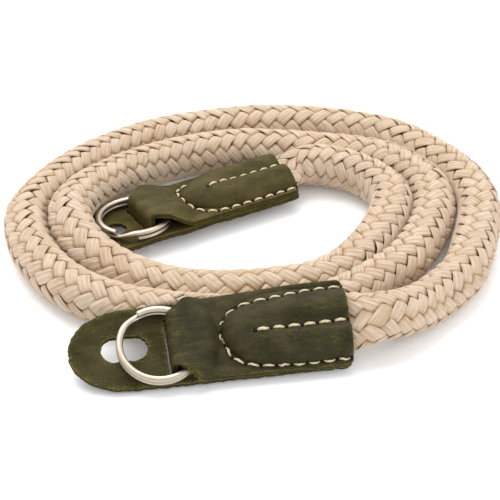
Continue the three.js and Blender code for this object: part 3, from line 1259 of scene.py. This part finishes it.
    def fray(self, finish: Material) -> Piece:
        """Short suede fibres along the mouth, and down the near shoulder of a ragged end.

        Args:
            finish: Their material.

        Returns:
            The piece.
        """
        rng = np.random.default_rng(self.seed + 4)
        at_mouth, beside = self.frayed[0], round(self.frayed[1] * self.ragged)
        x = np.append(np.full(at_mouth, 0.15), self.place.fold + rng.uniform(-6.0, -2.4, beside))
        count = len(x)
        mouth = np.arange(count) < at_mouth
        rim, _ = self._narrowed(x, SHAPE.half_width(x))
        y = np.where(mouth, rng.uniform(-8.6, 9.0, count), rim + 0.2)
        top, normal = self.cover_top(np.stack([x, y], -1))
        starts = top - normal * rng.uniform(0.1, SHAPE.leather, count)[:, None]
        ways = np.where(mouth[:, None], (-1, 0, -0.1), (0.0, 0.6, -1.0)) + rng.normal(0, 0.45, (count, 3))
        lengths = np.where(mouth, rng.uniform(0.2, 0.7, count), rng.uniform(0.4, 1.7, count))
        points, faces = fibres(starts, ways, lengths, 0.10, self.seed)
        return Piece(f"{self.name}_fray", self.place.outward(points), faces, [finish])

    # -- stitching

    def _hole(self, at: Array, ahead: Array, bore: float) -> Array:
        """A plug in one stitch hole, painted black as the hole's shade.

        Args:
            at: The hole's place.
            ahead: Which way the seam runs there.
            bore: The hole's size.

        Returns:
            Its points, ring by ring.
        """
        around = 2 * math.pi * np.arange(self.stitch.sides) / self.stitch.sides
        oval = np.stack([np.cos(around), self.stitch.flat * np.sin(around)], -1) * bore / 2
        rings = []
        for size, sink in self.stitch.hole_sinks:
            face, normal = self.cover_top(at + size * oval @ np.array([ahead, (-ahead[1], ahead[0])]))
            rings.append(face - normal * sink)
        return np.vstack(rings)

    def stitches(self, finish: Material) -> Piece:
        """Every stitch and hole on both faces.

        Args:
            finish: The thread's material.

        Returns:
            The piece in the making; its depth is over 2 in the plugs painted black as the holes' shade.
        """
        rng = np.random.default_rng(self.seed + 11)
        k = self.stitch
        tubes, depths = [], []
        t = np.linspace(0, 1, k.stops)
        swell = np.sin(math.pi * t)
        ring = round_section(k.sides, 1, k.flat)
        angle = np.arctan2(ring[:, 1], ring[:, 0])
        for seam in self.seams:
            holes = seam.holes()
            for at, ahead in zip(holes, unit(np.gradient(holes, axis=0))):
                # A plug in each hole, with a depth of 3 so the thread's finish paints it black as the
                # hole's shade.
                tubes.append((self._hole(at, ahead, seam.bore), k.sides))
                depths.append(np.full(len(tubes[-1][0]), 3.0))
            for a, b in zip(holes[:-1], holes[1:]):
                slant = unit(np.array([-(b - a)[1], (b - a)[0]])) * rng.normal(*k.slant)
                for over in (True, False):
                    inset = k.inset[0] + rng.uniform(0, k.inset[1])
                    share = inset + (1 - 2 * inset) * t
                    spots = a + (b - a) * share[:, None] + slant * np.sin(2 * math.pi * t)[:, None]
                    face, normal = np.pad(spots, ((0, 0), (0, 1))) - (0, 0, SHAPE.leather - 0.1), DOWN
                    if over:
                        face, normal = self.cover_top(spots)
                    line = face + normal * (k.arch * swell**0.55 - k.sunk)[:, None]
                    turn = rng.uniform(0, 3) + 2 * math.pi * k.ply_turns * t
                    plies = 1 - k.ply_groove * np.abs(np.cos(angle[None] - turn[:, None])) ** 6
                    width = seam.thread * (k.thinnest + (1 - k.thinnest) * swell**0.5)
                    tubes.append((swept(line, normal, ring * (width[:, None] * plies)[..., None]), k.sides))
                    # The thread's depth grows toward its holes and in its ply grooves, for its painted
                    # shade.
                    depths.append((1 - swell[:, None] ** 0.5 + (1 - plies) * 2.5).ravel())
        points, faces = joined(tubes)
        fields = {"depth": np.concatenate(depths)}
        return Piece(f"{self.name}_stitching", self.place.outward(points), faces, [finish], fields)

    # -- the split ring

    def ring(self, finish: Material) -> Piece:
        """The split ring: a flat wire of two turns, its ends rounded off.

        Args:
            finish: The nickel.

        Returns:
            The piece.
        """
        s = SHAPE
        radius = (s.ring_outer - s.wire_width) / 2
        first, last = s.ring_step, 4 * math.pi - s.ring_step
        near = np.array([0.0, 0.004, 0.015, 0.035])
        angle = np.unique(np.concatenate([np.linspace(first, last, 260), first + near, last - near]))
        climb = smoothstep(angle, 2 * math.pi - s.ring_step, 2 * math.pi + s.ring_step)
        up = s.gap + s.wire_height / 2 + s.wire_pitch * climb
        line = np.stack([radius * np.cos(angle), radius * np.sin(angle), up], -1)
        along = (angle - first) * radius
        tail = np.minimum(along, along[-1] - along)
        full = np.sqrt(np.clip(1 - (1 - np.clip(tail / 0.35, 0, 1)) ** 2, 0.35, 1))
        wire = round_section(16, s.wire_width, s.wire_height, 2.15)
        sides = len(wire)
        points = turned(swept(line, -DOWN, wire * full[:, None, None]), 2, self.place.split)
        twisted = turned(points, 0, math.radians(self.place.twist))
        world = self.place.direction(twisted) + self.place.outward(np.array([[*self.place.ring, 0.0]]))
        around = np.tile(np.arange(sides) / sides * 5.4, len(line))
        uv = np.stack([around, np.repeat(along, sides)], -1)
        return Piece(f"{self.name}_ring", world, tube_faces(len(line), sides), [finish], None, uv)

    def build(self, thread: Material, nickel: Material) -> None:
        """Builds its pieces and puts them on their bodies.

        Args:
            thread: The stitches' material.
            nickel: The ring's material.
        """
        lighter = [(self.gain * r, self.gain * g, 1.18 * self.gain * b) for r, g, b in self.tones]
        kinds = (("face", self.tones, 0.2), ("nubuck", lighter, 0.75), ("flesh", self.tones, 1.0))
        face, nubuck, flesh = (
            GreasedLeather(f"{self.name}_leather_{kind}", *tones, nap).build() for kind, tones, nap in kinds
        )
        edge = CutEdge(f"{self.name}_cut_edge").build()
        suede = PlainMatte(f"{self.name}_suede_fibres", tuple(1.25 * c for c in self.tones[2])).build()
        tab, cover = self.tab([nubuck, flesh, edge]), self.cover([face, flesh, edge])
        placed(tab, Body.STRAP, self.slot, f"{self.name}_tab_leather")
        placed(cover, Body.STRAP, self.slot, f"{self.name}_sleeve_leather")
        placed(self.stitches(thread), Body.STRAP, self.slot)
        placed(self.fray(suede), Body.STRAP, self.slot)
        placed(self.ring(nickel), self.body, Slot.NICKEL, f"{self.name}_split_ring")


# ---- the rope


LEVEL = 5.5
ROUTE = (
    (39.3, -32.7), (46.6, -24.7), (51.3, -17.2), (54.6, -6.7), (57.3, 5.5), (57.6, 15.3), (54.6, 25.3),
    (48, 35.6), (41, 43.1), (33, 47.8), (21, 51.3), (10, 53), (-1, 52.7), (-14, 49.9), (-24.7, 46.5),
    (-33, 41.9), (-42, 34.6), (-48.5, 27.3), (-55, 15.8), (-57.7, 7.3), (-57.4, 1.3), (-54.8, -8.2),
    (-50.5, -16.5), (-45.6, -22.9), (-40, -27.7), (-32, -32.2), (-22.5, -34.8, 5.4), (-12.8, -36, 5.1),
    (-1, -36.1, 5), (11, -33.9, 5.1), (21, -29.2, 5.4), (30, -21.7), (36.5, -14.7), (42, -4.7),
    (45.5, 5.3), (46.4, 15.3), (44.5, 23.3), (39, 31.3), (33, 36.3), (26, 38.9), (17, 40.6), (7, 41.5),
    (-3, 41.1), (-13, 38.3), (-23, 34.2), (-32, 28.3, 5.8), (-39, 21.3, 6.5), (-44.8, 12.2, 7.4),
    (-46.5, 2.9, 8.2), (-43.8, -6.4, 7.9), (-38, -14.4, 6.9), (-30, -20.7, 5.9), (-19, -25.7),
    (-7, -27.1), (5, -25.9), (13.5, -23.5), (21.3, -18.1), (28.5, -7.7), (34, 4.3), (35.6, 14.3),
    (33.5, 21.3), (28.5, 27.1),
)


@dataclass
class RopeForm:
    """The rope's outer form as a grid of points along and round it, which its strands follow.

    Attributes:
        diameter: The rope's diameter.
        step: From one row of the grid to the next.
        around: How many points a row has.
        sewn: Where its line is set inside and just outside a leather end.
        slack: How far one lane sags toward the middle, where along, and over what length.
        ease: How long the smoothing of its line beside the mouths is, and where outside them it is on.
        levels: Where outside a mouth its flat section's upward direction turns upright.
        flat: Where the rope begins to flatten before a mouth at 0, and where it is flat.
        clear: Between the flattened rope and the leathers.
        tuck: Between pressed rope and what presses it.
        end_reach: How far from its ends a leather end shapes it.
        press_from: How far from its ends the other leather end and the floor may press it.
        floor: Its lowest level.
        turns: How far the braid has turned about the rope, in degrees, at distances along it.
    """

    diameter: float = 11.0
    step: float = 0.35
    around: int = 72
    sewn: tuple[float, ...] = (SHAPE.rope_inside, 12.0, 0.0, -8.0)
    slack: tuple[float, float, float] = (2.6, 448.0, 26.0)
    ease: tuple[float, float, float, float, float] = (5.0, 1.0, 9.0, 25.0, 40.0)
    levels: tuple[float, float] = (4.0, 48.0)
    flat: tuple[float, float] = (-9.0, 1.0)
    clear: float = 0.3
    tuck: float = 0.2
    end_reach: float = 48.0
    press_from: float = 75.0
    floor: float = 0.1
    turns: Knots = (
        (0, 68), (30, 66), (42, 59), (57, 43), (72, 18), (102, 14), (132, 6), (147, 8), (162, 20),
        (177, 29), (192, 31), (222, 24), (252, 25), (267, 19), (282, 20), (300, 12), (342, 16),
        (357, 10), (387, 28), (417, 35), (447, 23), (462, 16), (492, 24), (507, 13), (537, 9),
        (567, 8), (597, 15), (712, 10),
    )

    def __post_init__(self) -> None:
        """Works out the middle line and the grid."""
        route = [(x, y, *(level or (LEVEL,))) for x, y, *level in ROUTE]
        ends = [
            place.outward(np.array([(x, 0, SHAPE.rope_lift) for x in xs]))
            for place, xs in ((FRONT, self.sewn), (REAR, self.sewn[::-1]))
        ]
        fine = catmull_rom(np.vstack([ends[0], route, ends[1]]), 40)
        self.mouth = ends[0][2]
        self.length = float(lengths_along(fine)[-1])
        rows = round(self.length / self.step)
        self.step = self.length / rows
        self.along = np.linspace(0, self.length, rows + 1)
        self.line = resampled(fine, self.along)
        deep, middle, reach = self.slack
        self.line[:, 1] -= deep * bell((self.along - middle) / reach)
        self._ease()
        self._frames()
        self._sections()
        self._press()
        self._normals()

    def _ease(self) -> None:
        """Rounds off the middle line's bends outside the two mouths."""
        width, *on = self.ease
        reach = np.arange(-3 * width, 3 * width + self.step / 2, self.step)
        share = np.exp(-((reach / width) ** 2) / 2)
        half = len(reach) // 2
        padded = np.pad(self.line, ((half, half), (0, 0)), mode="edge")
        even = [np.convolve(axis, share / share.sum(), mode="valid") for axis in padded.T]
        away = np.minimum(self.along, self.length - self.along) - SHAPE.rope_inside
        weight = smoothstep(away, *on[:2]) * (1 - smoothstep(away, *on[2:]))
        self.line += (np.stack(even, -1)[: len(self.line)] - self.line) * weight[:, None]

    def _frames(self) -> None:
        """Works out the directions aside and up at each point of the middle line."""
        ahead = unit(np.gradient(self.line, axis=0))
        up = np.tile(-DOWN, (len(ahead), 1))
        for place, away in ((FRONT, self.along), (REAR, self.length - self.along)):
            share = 1 - smoothstep(away - SHAPE.rope_inside, *self.levels)[:, None]
            up = up * (1 - share) + place.direction(-DOWN) * share
        self.side = unit(np.cross(ahead, up))
        self.up = np.cross(self.side, ahead)

    def _sewn_section(self, x: float) -> Array:
        """The rope's flat section in a sleeve: two lobes beside the middle seam.

        Args:
            x: How far inside the mouth.

        Returns:
            The section's points, about the rope's middle.
        """
        x = max(x, 0.0)
        turn = np.linspace(0, math.pi, 60)
        y = SHAPE.rope_width / 2 * float(SHAPE.share(np.array(x))) * np.cos(turn)
        low = self.clear
        high = np.maximum(SHAPE.channel_rise * SHAPE.channels(x + 0 * y, y) - self.clear, low + 0.3)
        mid = (high + low) / 2
        bulge = np.sqrt(np.clip(np.sin(turn), 0, 1)) * 0.5 + 0.5
        upper = np.stack([y, mid + (high - mid) * bulge], -1)
        lower = np.stack([y, mid - (mid - low) * bulge], -1)[::-1]
        loop = np.vstack([upper, lower[1:-1], upper[:1]])
        even = np.linspace(0, lengths_along(loop)[-1], self.around, endpoint=False)
        return resampled(loop, even) - (0, SHAPE.rope_lift)

    def _sections(self) -> None:
        """Lays out the grid before anything presses on it, and how thin the strands are."""
        self.drift = np.radians(np.interp(self.along, *zip(*self.turns)))
        angle = 2 * math.pi * np.arange(self.around) / self.around
        circle = np.stack([np.cos(angle), np.sin(angle)], -1) * self.diameter / 2
        section = np.tile(circle, (len(self.line), 1, 1))
        self.thin = np.ones(len(self.line))
        for place, away in ((FRONT, self.along), (REAR, self.length - self.along)):
            x = place.inward(self.line)[:, 0]
            flat = np.where(away < self.end_reach, smoothstep(x, *self.flat), 0)
            for k in np.flatnonzero(flat):
                section[k] += flat[k] * (self._sewn_section(x[k]) - section[k])
            self.thin -= 0.5 * flat
        across, up = section[..., :1] * self.side[:, None], section[..., 1:] * self.up[:, None]
        self.points = self.line[:, None] + across + up

    def _press(self) -> None:
        """Presses the rope in where a leather end lies on or under it, and where it lies on the floor."""
        self._press_by(FRONT, Lay.UNDER, self.along > self.press_from)
        self._press_by(REAR, Lay.OVER, self.along < self.length - self.press_from)
        z = self.points[..., 2] - self.floor
        self.points[..., 2] = self.floor + (z + np.sqrt(z * z + 0.05)) / 2

    def _press_by(self, place: Place, lay: Lay, rows: Array) -> None:
        """Presses rows of the rope's form by one leather end.

        Args:
            place: Where the leather end lies.
            lay: Whether the rope lies under it or over it.
            rows: Which rows may be pressed.
        """
        p = place.inward(self.points[rows])
        x, y, z = np.moveaxis(p, -1, 0)
        past = np.maximum(x - SHAPE.length + SHAPE.tip, 0) / SHAPE.tip
        wide = SHAPE.width / 2 * np.sqrt(np.clip(1 - past**2, 0, 1))
        if lay is Lay.OVER:
            beyond = np.maximum(np.maximum(-x, x - SHAPE.length), 0)
            out = np.hypot(np.maximum(np.abs(y) - wide, 0), beyond)
            bed = self.tuck + 0.2 - 1.1 * out**2
            p[..., 2] = np.where((out < 3) & (x > 36), np.maximum(z, bed), z)
        else:
            centre = place.inward(self.line[rows])[:, None]
            before, after = np.maximum(-x, 0), np.maximum(x - SHAPE.length + 0.5, 0)
            bottom = -SHAPE.leather - self.tuck + 1.3 * before**2 + 1.3 * after**2
            share = self._entry(centre, p, -wide - self.tuck, bottom, 3.0)
            p = centre + (p - centre) * share[..., None]
        self.points[rows] = place.outward(p)

    @staticmethod
    def _entry(start: Array, end: Array, left: Array, bottom: Array, top: float) -> Array:
        """How far lines across a leather end get before they enter its slab.

        Args:
            start: Where the lines start, outside the slab.
            end: Where they end.
            left: The slab's far edge at each line.
            bottom: Its lower face there.
            top: Its upper face.

        Returns:
            The share of each line that is outside, 1 for one that never enters.
        """
        step, none = end - start, 1e-9
        enter, leave = np.zeros(end.shape[:2]), np.full(end.shape[:2], np.inf)
        for axis, wall, sign in ((1, left, 1), (2, bottom, 1), (2, top, -1)):
            pace = sign * step[..., axis]
            reach = sign * (wall - start[..., axis])
            with np.errstate(divide="ignore", invalid="ignore"):
                at = reach / pace
            enter = np.where(pace > none, np.maximum(enter, at), enter)
            leave = np.where(pace < -none, np.minimum(leave, at), leave)
            leave = np.where((np.abs(pace) <= none) & (reach > 0), -1, leave)
        return np.where((enter < leave) & (enter < 1), np.clip(enter, 0.3, 1), 1.0)

    def _normals(self) -> None:
        """Works out the form's outward normals."""
        round_it = np.roll(self.points, -1, 1) - np.roll(self.points, 1, 1)
        normal = unit(np.cross(round_it, np.gradient(self.points, axis=0)))
        outward = (normal * (self.points - self.line[:, None])).sum(-1).mean()
        self.normals = normal if outward > 0 else -normal

    def at(self, along: Array, angle: Array) -> tuple[Array, Array, Array]:
        """The form at places along and round it.

        Args:
            along: Distances along the middle line.
            angle: Angles round it.

        Returns:
            The points, the normals, and how thin the strands are.
        """
        row = np.clip(along / self.step, 0, len(self.line) - 1.001)
        angle = angle + np.interp(along, self.along, self.drift)
        col = (angle / (2 * math.pi) % 1) * self.around
        i, j = row.astype(int), np.floor(col).astype(int)
        u, v = (row - i)[..., None], (col - j)[..., None]
        j, k = j % self.around, (j + 1) % self.around
        rows = ((i, 1 - u), (i + 1, u))
        point, normal = (
            sum((grid[at, j] * (1 - v) + grid[at, k] * v) * share for at, share in rows)
            for grid in (self.points, self.normals)
        )
        return point, unit(normal), np.interp(along, self.along, self.thin)


@dataclass(frozen=True)
class Braid:
    """The rope's outer braid: eight flat strands each way, each over two and under two.

    Attributes:
        count: Strands of each hand.
        crossing: From one crossing to the next, along the rope.
        steps: Rings of vertices from one crossing to the next.
        thick: A strand's thickness.
        wide: A strand's width as a share of the room between its neighbours.
        over: How far the middle of a strand lies under the form where it is on top.
        under: The same where it passes below.
        tilt: How much higher one edge of a strand lies than its other edge.
        dive: Where a strand starts and ends to go down, in crossings from the middle of its float.
        hump: How much higher the middle of a float stands, and how far that reaches, in crossings.
        uneven: How much a strand's width and height vary.
        astray: How far a strand wanders aside.
        core_deep: How far the core lies under the form.
        core_rings: Rings of vertices along the core.
        core_sides: Vertices in one of them.
        fibres: How many fibres stand off the yarn.
        fibre_lean: Their angle to the rope, in degrees, and how much it varies.
        fibre_length: The shortest and the longest of them.
        fibre_width: Their thickness.
        helix: The strands' angle to the rope, in degrees, at distances along it.
        section: Across a strand: place from -1 to 1, and height as a share of half its thickness.
    """

    count: int = 8
    crossing: float = 2.2
    steps: int = 6
    thick: float = 1.0
    wide: float = 1.12
    over: float = 0.50
    under: float = 1.45
    tilt: float = 0.12
    dive: tuple[float, float] = (0.66, 1.34)
    hump: tuple[float, float] = (0.20, 1.1)
    uneven: float = 0.05
    astray: float = 0.13
    core_deep: float = 1.22
    core_rings: int = 620
    core_sides: int = 24
    fibres: int = 2400
    fibre_lean: tuple[float, float] = (45.0, 16.0)
    fibre_length: tuple[float, float] = (1.2, 4.0)
    fibre_width: float = 0.055
    helix: Knots = (
        (0, 51), (20, 50), (42, 50), (62, 47), (85, 42.2), (165, 42.2), (190, 48), (215, 51), (240, 48),
        (262, 45.5), (300, 46), (330, 49), (352, 48), (375, 46), (400, 43.5), (460, 43.5), (485, 49),
        (505, 51), (528, 45), (550, 43.5), (670, 45), (695, 51), (712, 54),
    )
    section: Knots = (
        (-1.0, 0.25), (-0.86, 0.70), (-0.55, 0.92), (-0.2, 1.0), (0.2, 1.0), (0.55, 0.92),
        (0.86, 0.70), (1.0, 0.25), (0.6, -1.0), (-0.6, -1.0),
    )

    def strand(self, form: RopeForm, hand: Hand, index: int) -> tuple[Array, Array, Array]:
        """One strand along the whole rope.

        Args:
            form: The rope's form.
            hand: Which way it winds.
            index: Which strand of that hand.

        Returns:
            Its points ring by ring, their depths, and their places on the yarn's flat map.
        """
        rng = np.random.default_rng(1000 * (2 + hand.value) + index)
        r = form.diameter / 2
        along = np.linspace(0.2, form.length - 0.2, round(form.length / self.crossing * self.steps) + 1)
        helix = np.radians(np.interp(along, *zip(*self.helix)))
        wound = np.append(0, np.cumsum(np.diff(along) * np.tan(helix[1:]) / r))
        angle = 2 * math.pi * index / self.count + hand.value * wound
        place = angle * self.count / math.pi - (0.5 if hand is Hand.RIGHT else 2.5)
        knots = np.arange(0, form.length + self.crossing, self.crossing)
        wander = [np.interp(along, knots, rng.normal(0, 1, len(knots))) for _ in range(4)]
        room = 2 * math.pi * r / self.count * np.cos(helix)
        away = np.abs((place + 2) % 4 - 2)
        varied = 1 - 0.05 * smoothstep(away, 0.3, 1.2) + self.uneven * wander[0]
        half = room / 2 * self.wide * varied
        on_top = 1 - 2 * smoothstep(away, *self.dive)
        height = -(self.over + self.under) / 2 + on_top * (self.under - self.over) / 2
        height = height + self.hump[0] * np.clip(1 - (away / self.hump[1]) ** 2, 0, 1)
        height = (height + self.uneven * wander[1])[:, None]
        across, shape = np.array(self.section).T
        above = shape * self.thick / 2 + self.tilt * (1 + 0.8 * wander[3])[:, None] * across
        offset = across * half[:, None] + self.astray * wander[2][:, None]
        s = along[:, None] - hand.value * offset * np.sin(helix)[:, None]
        a = angle[:, None] + offset * np.cos(helix)[:, None] / r
        point, normal, thin = form.at(np.clip(s, 0.05, form.length - 0.05), a)
        points = point + normal * ((height + above) * thin)[..., None]
        points[..., 2] = np.maximum(points[..., 2], 0.02)
        # How far the strand dives below its float's top; the yarn paints this depth as crease shade.
        depth = np.clip(-0.30 - height + 0.25 * (self.thick / 2 - above), 0, 2)
        travelled = lengths_along(np.stack([along, r * wound], -1))
        uv = np.stack([offset + 7.3 * index, travelled[:, None] + 0 * offset], -1)
        return points.reshape(-1, 3), depth.ravel(), uv.reshape(-1, 2)

    def piece(self, name: str, form: RopeForm, hand: Hand, which: Sequence[int], finish: Material) -> Piece:
        """Some strands of one hand as one piece.

        Args:
            name: Its name.
            form: The rope's form.
            hand: Which way they wind.
            which: Which strands.
            finish: The yarn.

        Returns:
            The piece.
        """
        points, depths, uvs = zip(*(self.strand(form, hand, index) for index in which))
        every, faces = joined([(p, len(self.section)) for p in points])
        fields = {"depth": np.concatenate(depths)}
        return Piece(name, every, [f[:, ::-1] for f in faces], [finish], fields, np.vstack(uvs))

    def fuzz(self, form: RopeForm, finish: Material) -> Piece:
        """Short fibres that stand off the yarn.

        Args:
            form: The rope's form.
            finish: Their material.

        Returns:
            The piece.
        """
        rng = np.random.default_rng(5)
        count, sewn = self.fibres, SHAPE.rope_inside + 3
        along = rng.uniform(sewn, form.length - sewn, count)
        angle = rng.uniform(0, 2 * math.pi, count)
        point, normal, _ = form.at(along, angle)
        ahead = unit(form.at(along + 0.5, angle)[0] - point)
        lean, varies = self.fibre_lean
        lean = np.radians(lean * rng.choice((-1, 1), count) + rng.normal(0, varies, count))[:, None]
        way = ahead * np.cos(lean) + np.cross(normal, ahead) * np.sin(lean)
        way = way * rng.choice((-1, 1), count)[:, None] + normal * rng.uniform(0.0, 0.22, count)[:, None]
        lengths = rng.uniform(*self.fibre_length, count)
        points, faces = fibres(point + normal * 0.08, way, lengths, self.fibre_width, 6)
        points[:, 2] = np.maximum(points[:, 2], 0.03)
        return Piece("rope_fuzz", points, faces, [finish])

    def core(self, form: RopeForm, finish: Material) -> Piece:
        """The inner braid under the strands.

        Args:
            form: The rope's form.
            finish: Its material.

        Returns:
            The piece.
        """
        along = np.linspace(0.4, form.length - 0.4, self.core_rings)
        angle = 2 * math.pi * np.arange(self.core_sides) / self.core_sides
        s, a = np.meshgrid(along, angle, indexing="ij")
        point, normal, thin = form.at(s, a)
        points = point - normal * (self.core_deep * thin)[..., None]
        uv = np.stack([a * form.diameter / 2, s], -1).reshape(-1, 2)
        faces = [f[:, ::-1] for f in tube_faces(self.core_rings, self.core_sides)]
        return Piece("rope_core", points.reshape(-1, 3), faces, [finish], None, uv)


# ---- the studio


@dataclass(frozen=True)
class Studio:
    """The camera, the floor and the lights.

    Attributes:
        target: What the camera looks at.
        elevation: The camera's height above the horizon, in degrees.
        distance: From the camera to the target.
        lens: Its focal length.
        shift: How far its view is shifted up, as a share of the view's width.
    """

    target: tuple[float, float, float] = (-1.0, 2.3, 5.5)
    elevation: float = 33.5
    distance: float = 410.0
    lens: float = 116.6
    shift: float = -0.05

    def camera(self) -> None:
        """Makes the scene's camera."""
        data = bpy.data.cameras.new("camera")
        data.lens, data.sensor_width, data.shift_y = self.lens, 36.0, self.shift
        data.clip_start, data.clip_end = 0.01, 20.0
        made = bpy.data.objects.new("camera", data)
        e = math.radians(self.elevation)
        back = Vector((0, -math.cos(e), math.sin(e)))
        made.location = (Vector(self.target) + back * self.distance) * MM
        made.rotation_euler = (math.pi / 2 - e, 0, 0)
        bpy.context.scene.collection.objects.link(made)
        bpy.context.scene.camera = made

    def floor(self) -> None:
        """Makes the pale floor."""
        far, low = 3000.0, -0.05
        corners = np.array([(-far, -far, low), (far, -far, low), (far, far, low), (-far, far, low)])
        finish = PlainMatte("pale_floor", (0.93, 0.93, 0.935), 0.10)
        piece = Piece("floor", corners, [np.array([[0, 1, 2, 3]])], [finish.build()])
        piece.build()

    def lamp(self, name: str, at: Sequence[float], size: float, watts: float, colour: Colour) -> None:
        """Adds a square soft light that faces the strap.

        Args:
            name: Its name.
            at: Where it hangs.
            size: Its side.
            watts: Its power.
            colour: Its colour.
        """
        data = bpy.data.lights.new(name, "AREA")
        data.size, data.energy, data.color = size * MM, watts, colour
        made = bpy.data.objects.new(name, data)
        made.location = Vector(at) * MM
        made.rotation_mode = "QUATERNION"
        made.rotation_quaternion = (-Vector(at)).to_track_quat("-Z", "Y")
        bpy.context.scene.collection.objects.link(made)

    def light(self) -> None:
        """Makes the lights and the pale room."""
        self.lamp("overhead", (-200, 450, 850), 900, 8.6, (1.0, 0.99, 0.97))
        self.lamp("side", (700, -300, 500), 500, 1.2, (1.0, 1.0, 1.0))
        world = bpy.data.worlds.new("room")
        world.use_nodes = True
        room = world.node_tree.nodes["Background"]
        room.inputs["Color"].default_value = (0.97, 0.98, 1.0, 1.0)
        room.inputs["Strength"].default_value = 1.06
        bpy.context.scene.world = world
        bpy.context.scene.view_settings.view_transform = "Standard"


# ---- the strap


@dataclass(frozen=True)
class Strap:
    """The whole strap: its rope and its two leather ends."""

    front: LeatherEnd
    rear: LeatherEnd

    def rope(self) -> None:
        form, braid, yarn = RopeForm(), Braid(), CottonYarn().build()
        halves = (("a", range(0, 4)), ("b", range(4, 8)))
        first, *others = (
            placed(
                braid.piece(f"braid_{hand.name.lower()}_{half}", form, hand, which, yarn),
                Body.STRAP, Slot.ROPE, "braided_rope",
            )
            for hand in Hand
            for half, which in halves
        )
        down = PlainMatte("rope_down", (0.68, 0.55, 0.42)).build()
        fuzz = placed(braid.fuzz(form, down), Body.STRAP, Slot.ROPE)
        core = placed(braid.core(form, RopeCore().build()), Body.STRAP, Slot.ROPE, "braided_rope")
        log.info("rope: %.1f mm along its middle line", form.length)

    def ends(self) -> None:
        """Builds the leather ends with their rings."""
        thread, nickel = WaxedThread().build(), Nickel().build()
        for end in (self.front, self.rear):
            end.build(thread, nickel)


FRONT_SEAMS = (
    Seam((
        (0.4, -7.5), (3.2, -7.5), (7.3, -7.5), (11.6, -7.0), (15.5, -6.5), (19.3, -6.0), (22.6, -6.0),
        (25.7, -5.4), (27.8, -3.9), (28.7, -1.6), (28.7, 1.5), (28.3, 4.5), (26.5, 7.0), (22.9, 8.3),
        (18.8, 8.7), (14.9, 8.7), (11.0, 8.5), (7.0, 8.4), (0.4, 8.3),
    ), 3.45, 0.64, 0.62),
    Seam(((21.8, 1.4), (12, 1.0), (0.4, 0.6)), 3.5, 0.84, 0.92),
)
FRONT_TONES = (
    (0.015, 0.0132, 0.0034), (0.047, 0.0405, 0.0102), (0.160, 0.136, 0.035), (0.055, 0.043, 0.017),
)
REAR_SEAMS = (
    Seam((
        (0.5, -8.3), (8, -8.2), (16, -8.0), (23, -7.6), (25.4, -7.3), (28.2, -6.0), (29.6, -3.4),
        (29.8, 0.0), (28.9, 3.3), (27.3, 6.4), (25.2, 8.3), (22.2, 9.1), (18.8, 9.2), (12.4, 9.2),
        (6.2, 9.2), (0.5, 9.1),
    ), 3.3, 0.70, 0.70),
    Seam(((22.6, 1.6), (12, 0.9), (0.5, 0.0)), 3.4, 0.76, 0.80),
)
REAR_TONES = (
    (0.029, 0.0230, 0.0038), (0.075, 0.0585, 0.0112), (0.190, 0.150, 0.034), (0.084, 0.060, 0.018),
)


def main() -> None:
    """Builds the strap and its studio."""
    logging.basicConfig(level=logging.INFO, format="%(name)s: %(message)s")
    studio = Studio()
    studio.camera()
    strap = Strap(
        LeatherEnd(
            "front", FRONT, Body.FRONT_RING, Slot.FRONT_LEATHER, FRONT_SEAMS, FRONT_TONES,
            gain=1.45, seed=21, nib=0.5, ragged=0.13,
        ),
        # The rear tab's nubuck gain is kept low, painting the tab darker as its shade.
        LeatherEnd(
            "rear", REAR, Body.REAR_RING, Slot.REAR_LEATHER, REAR_SEAMS, REAR_TONES, gain=1.08, seed=57,
        ),
    )
    strap.rope()
    strap.ends()
    studio.floor()
    studio.light()


if __name__ == "__main__":
    main()
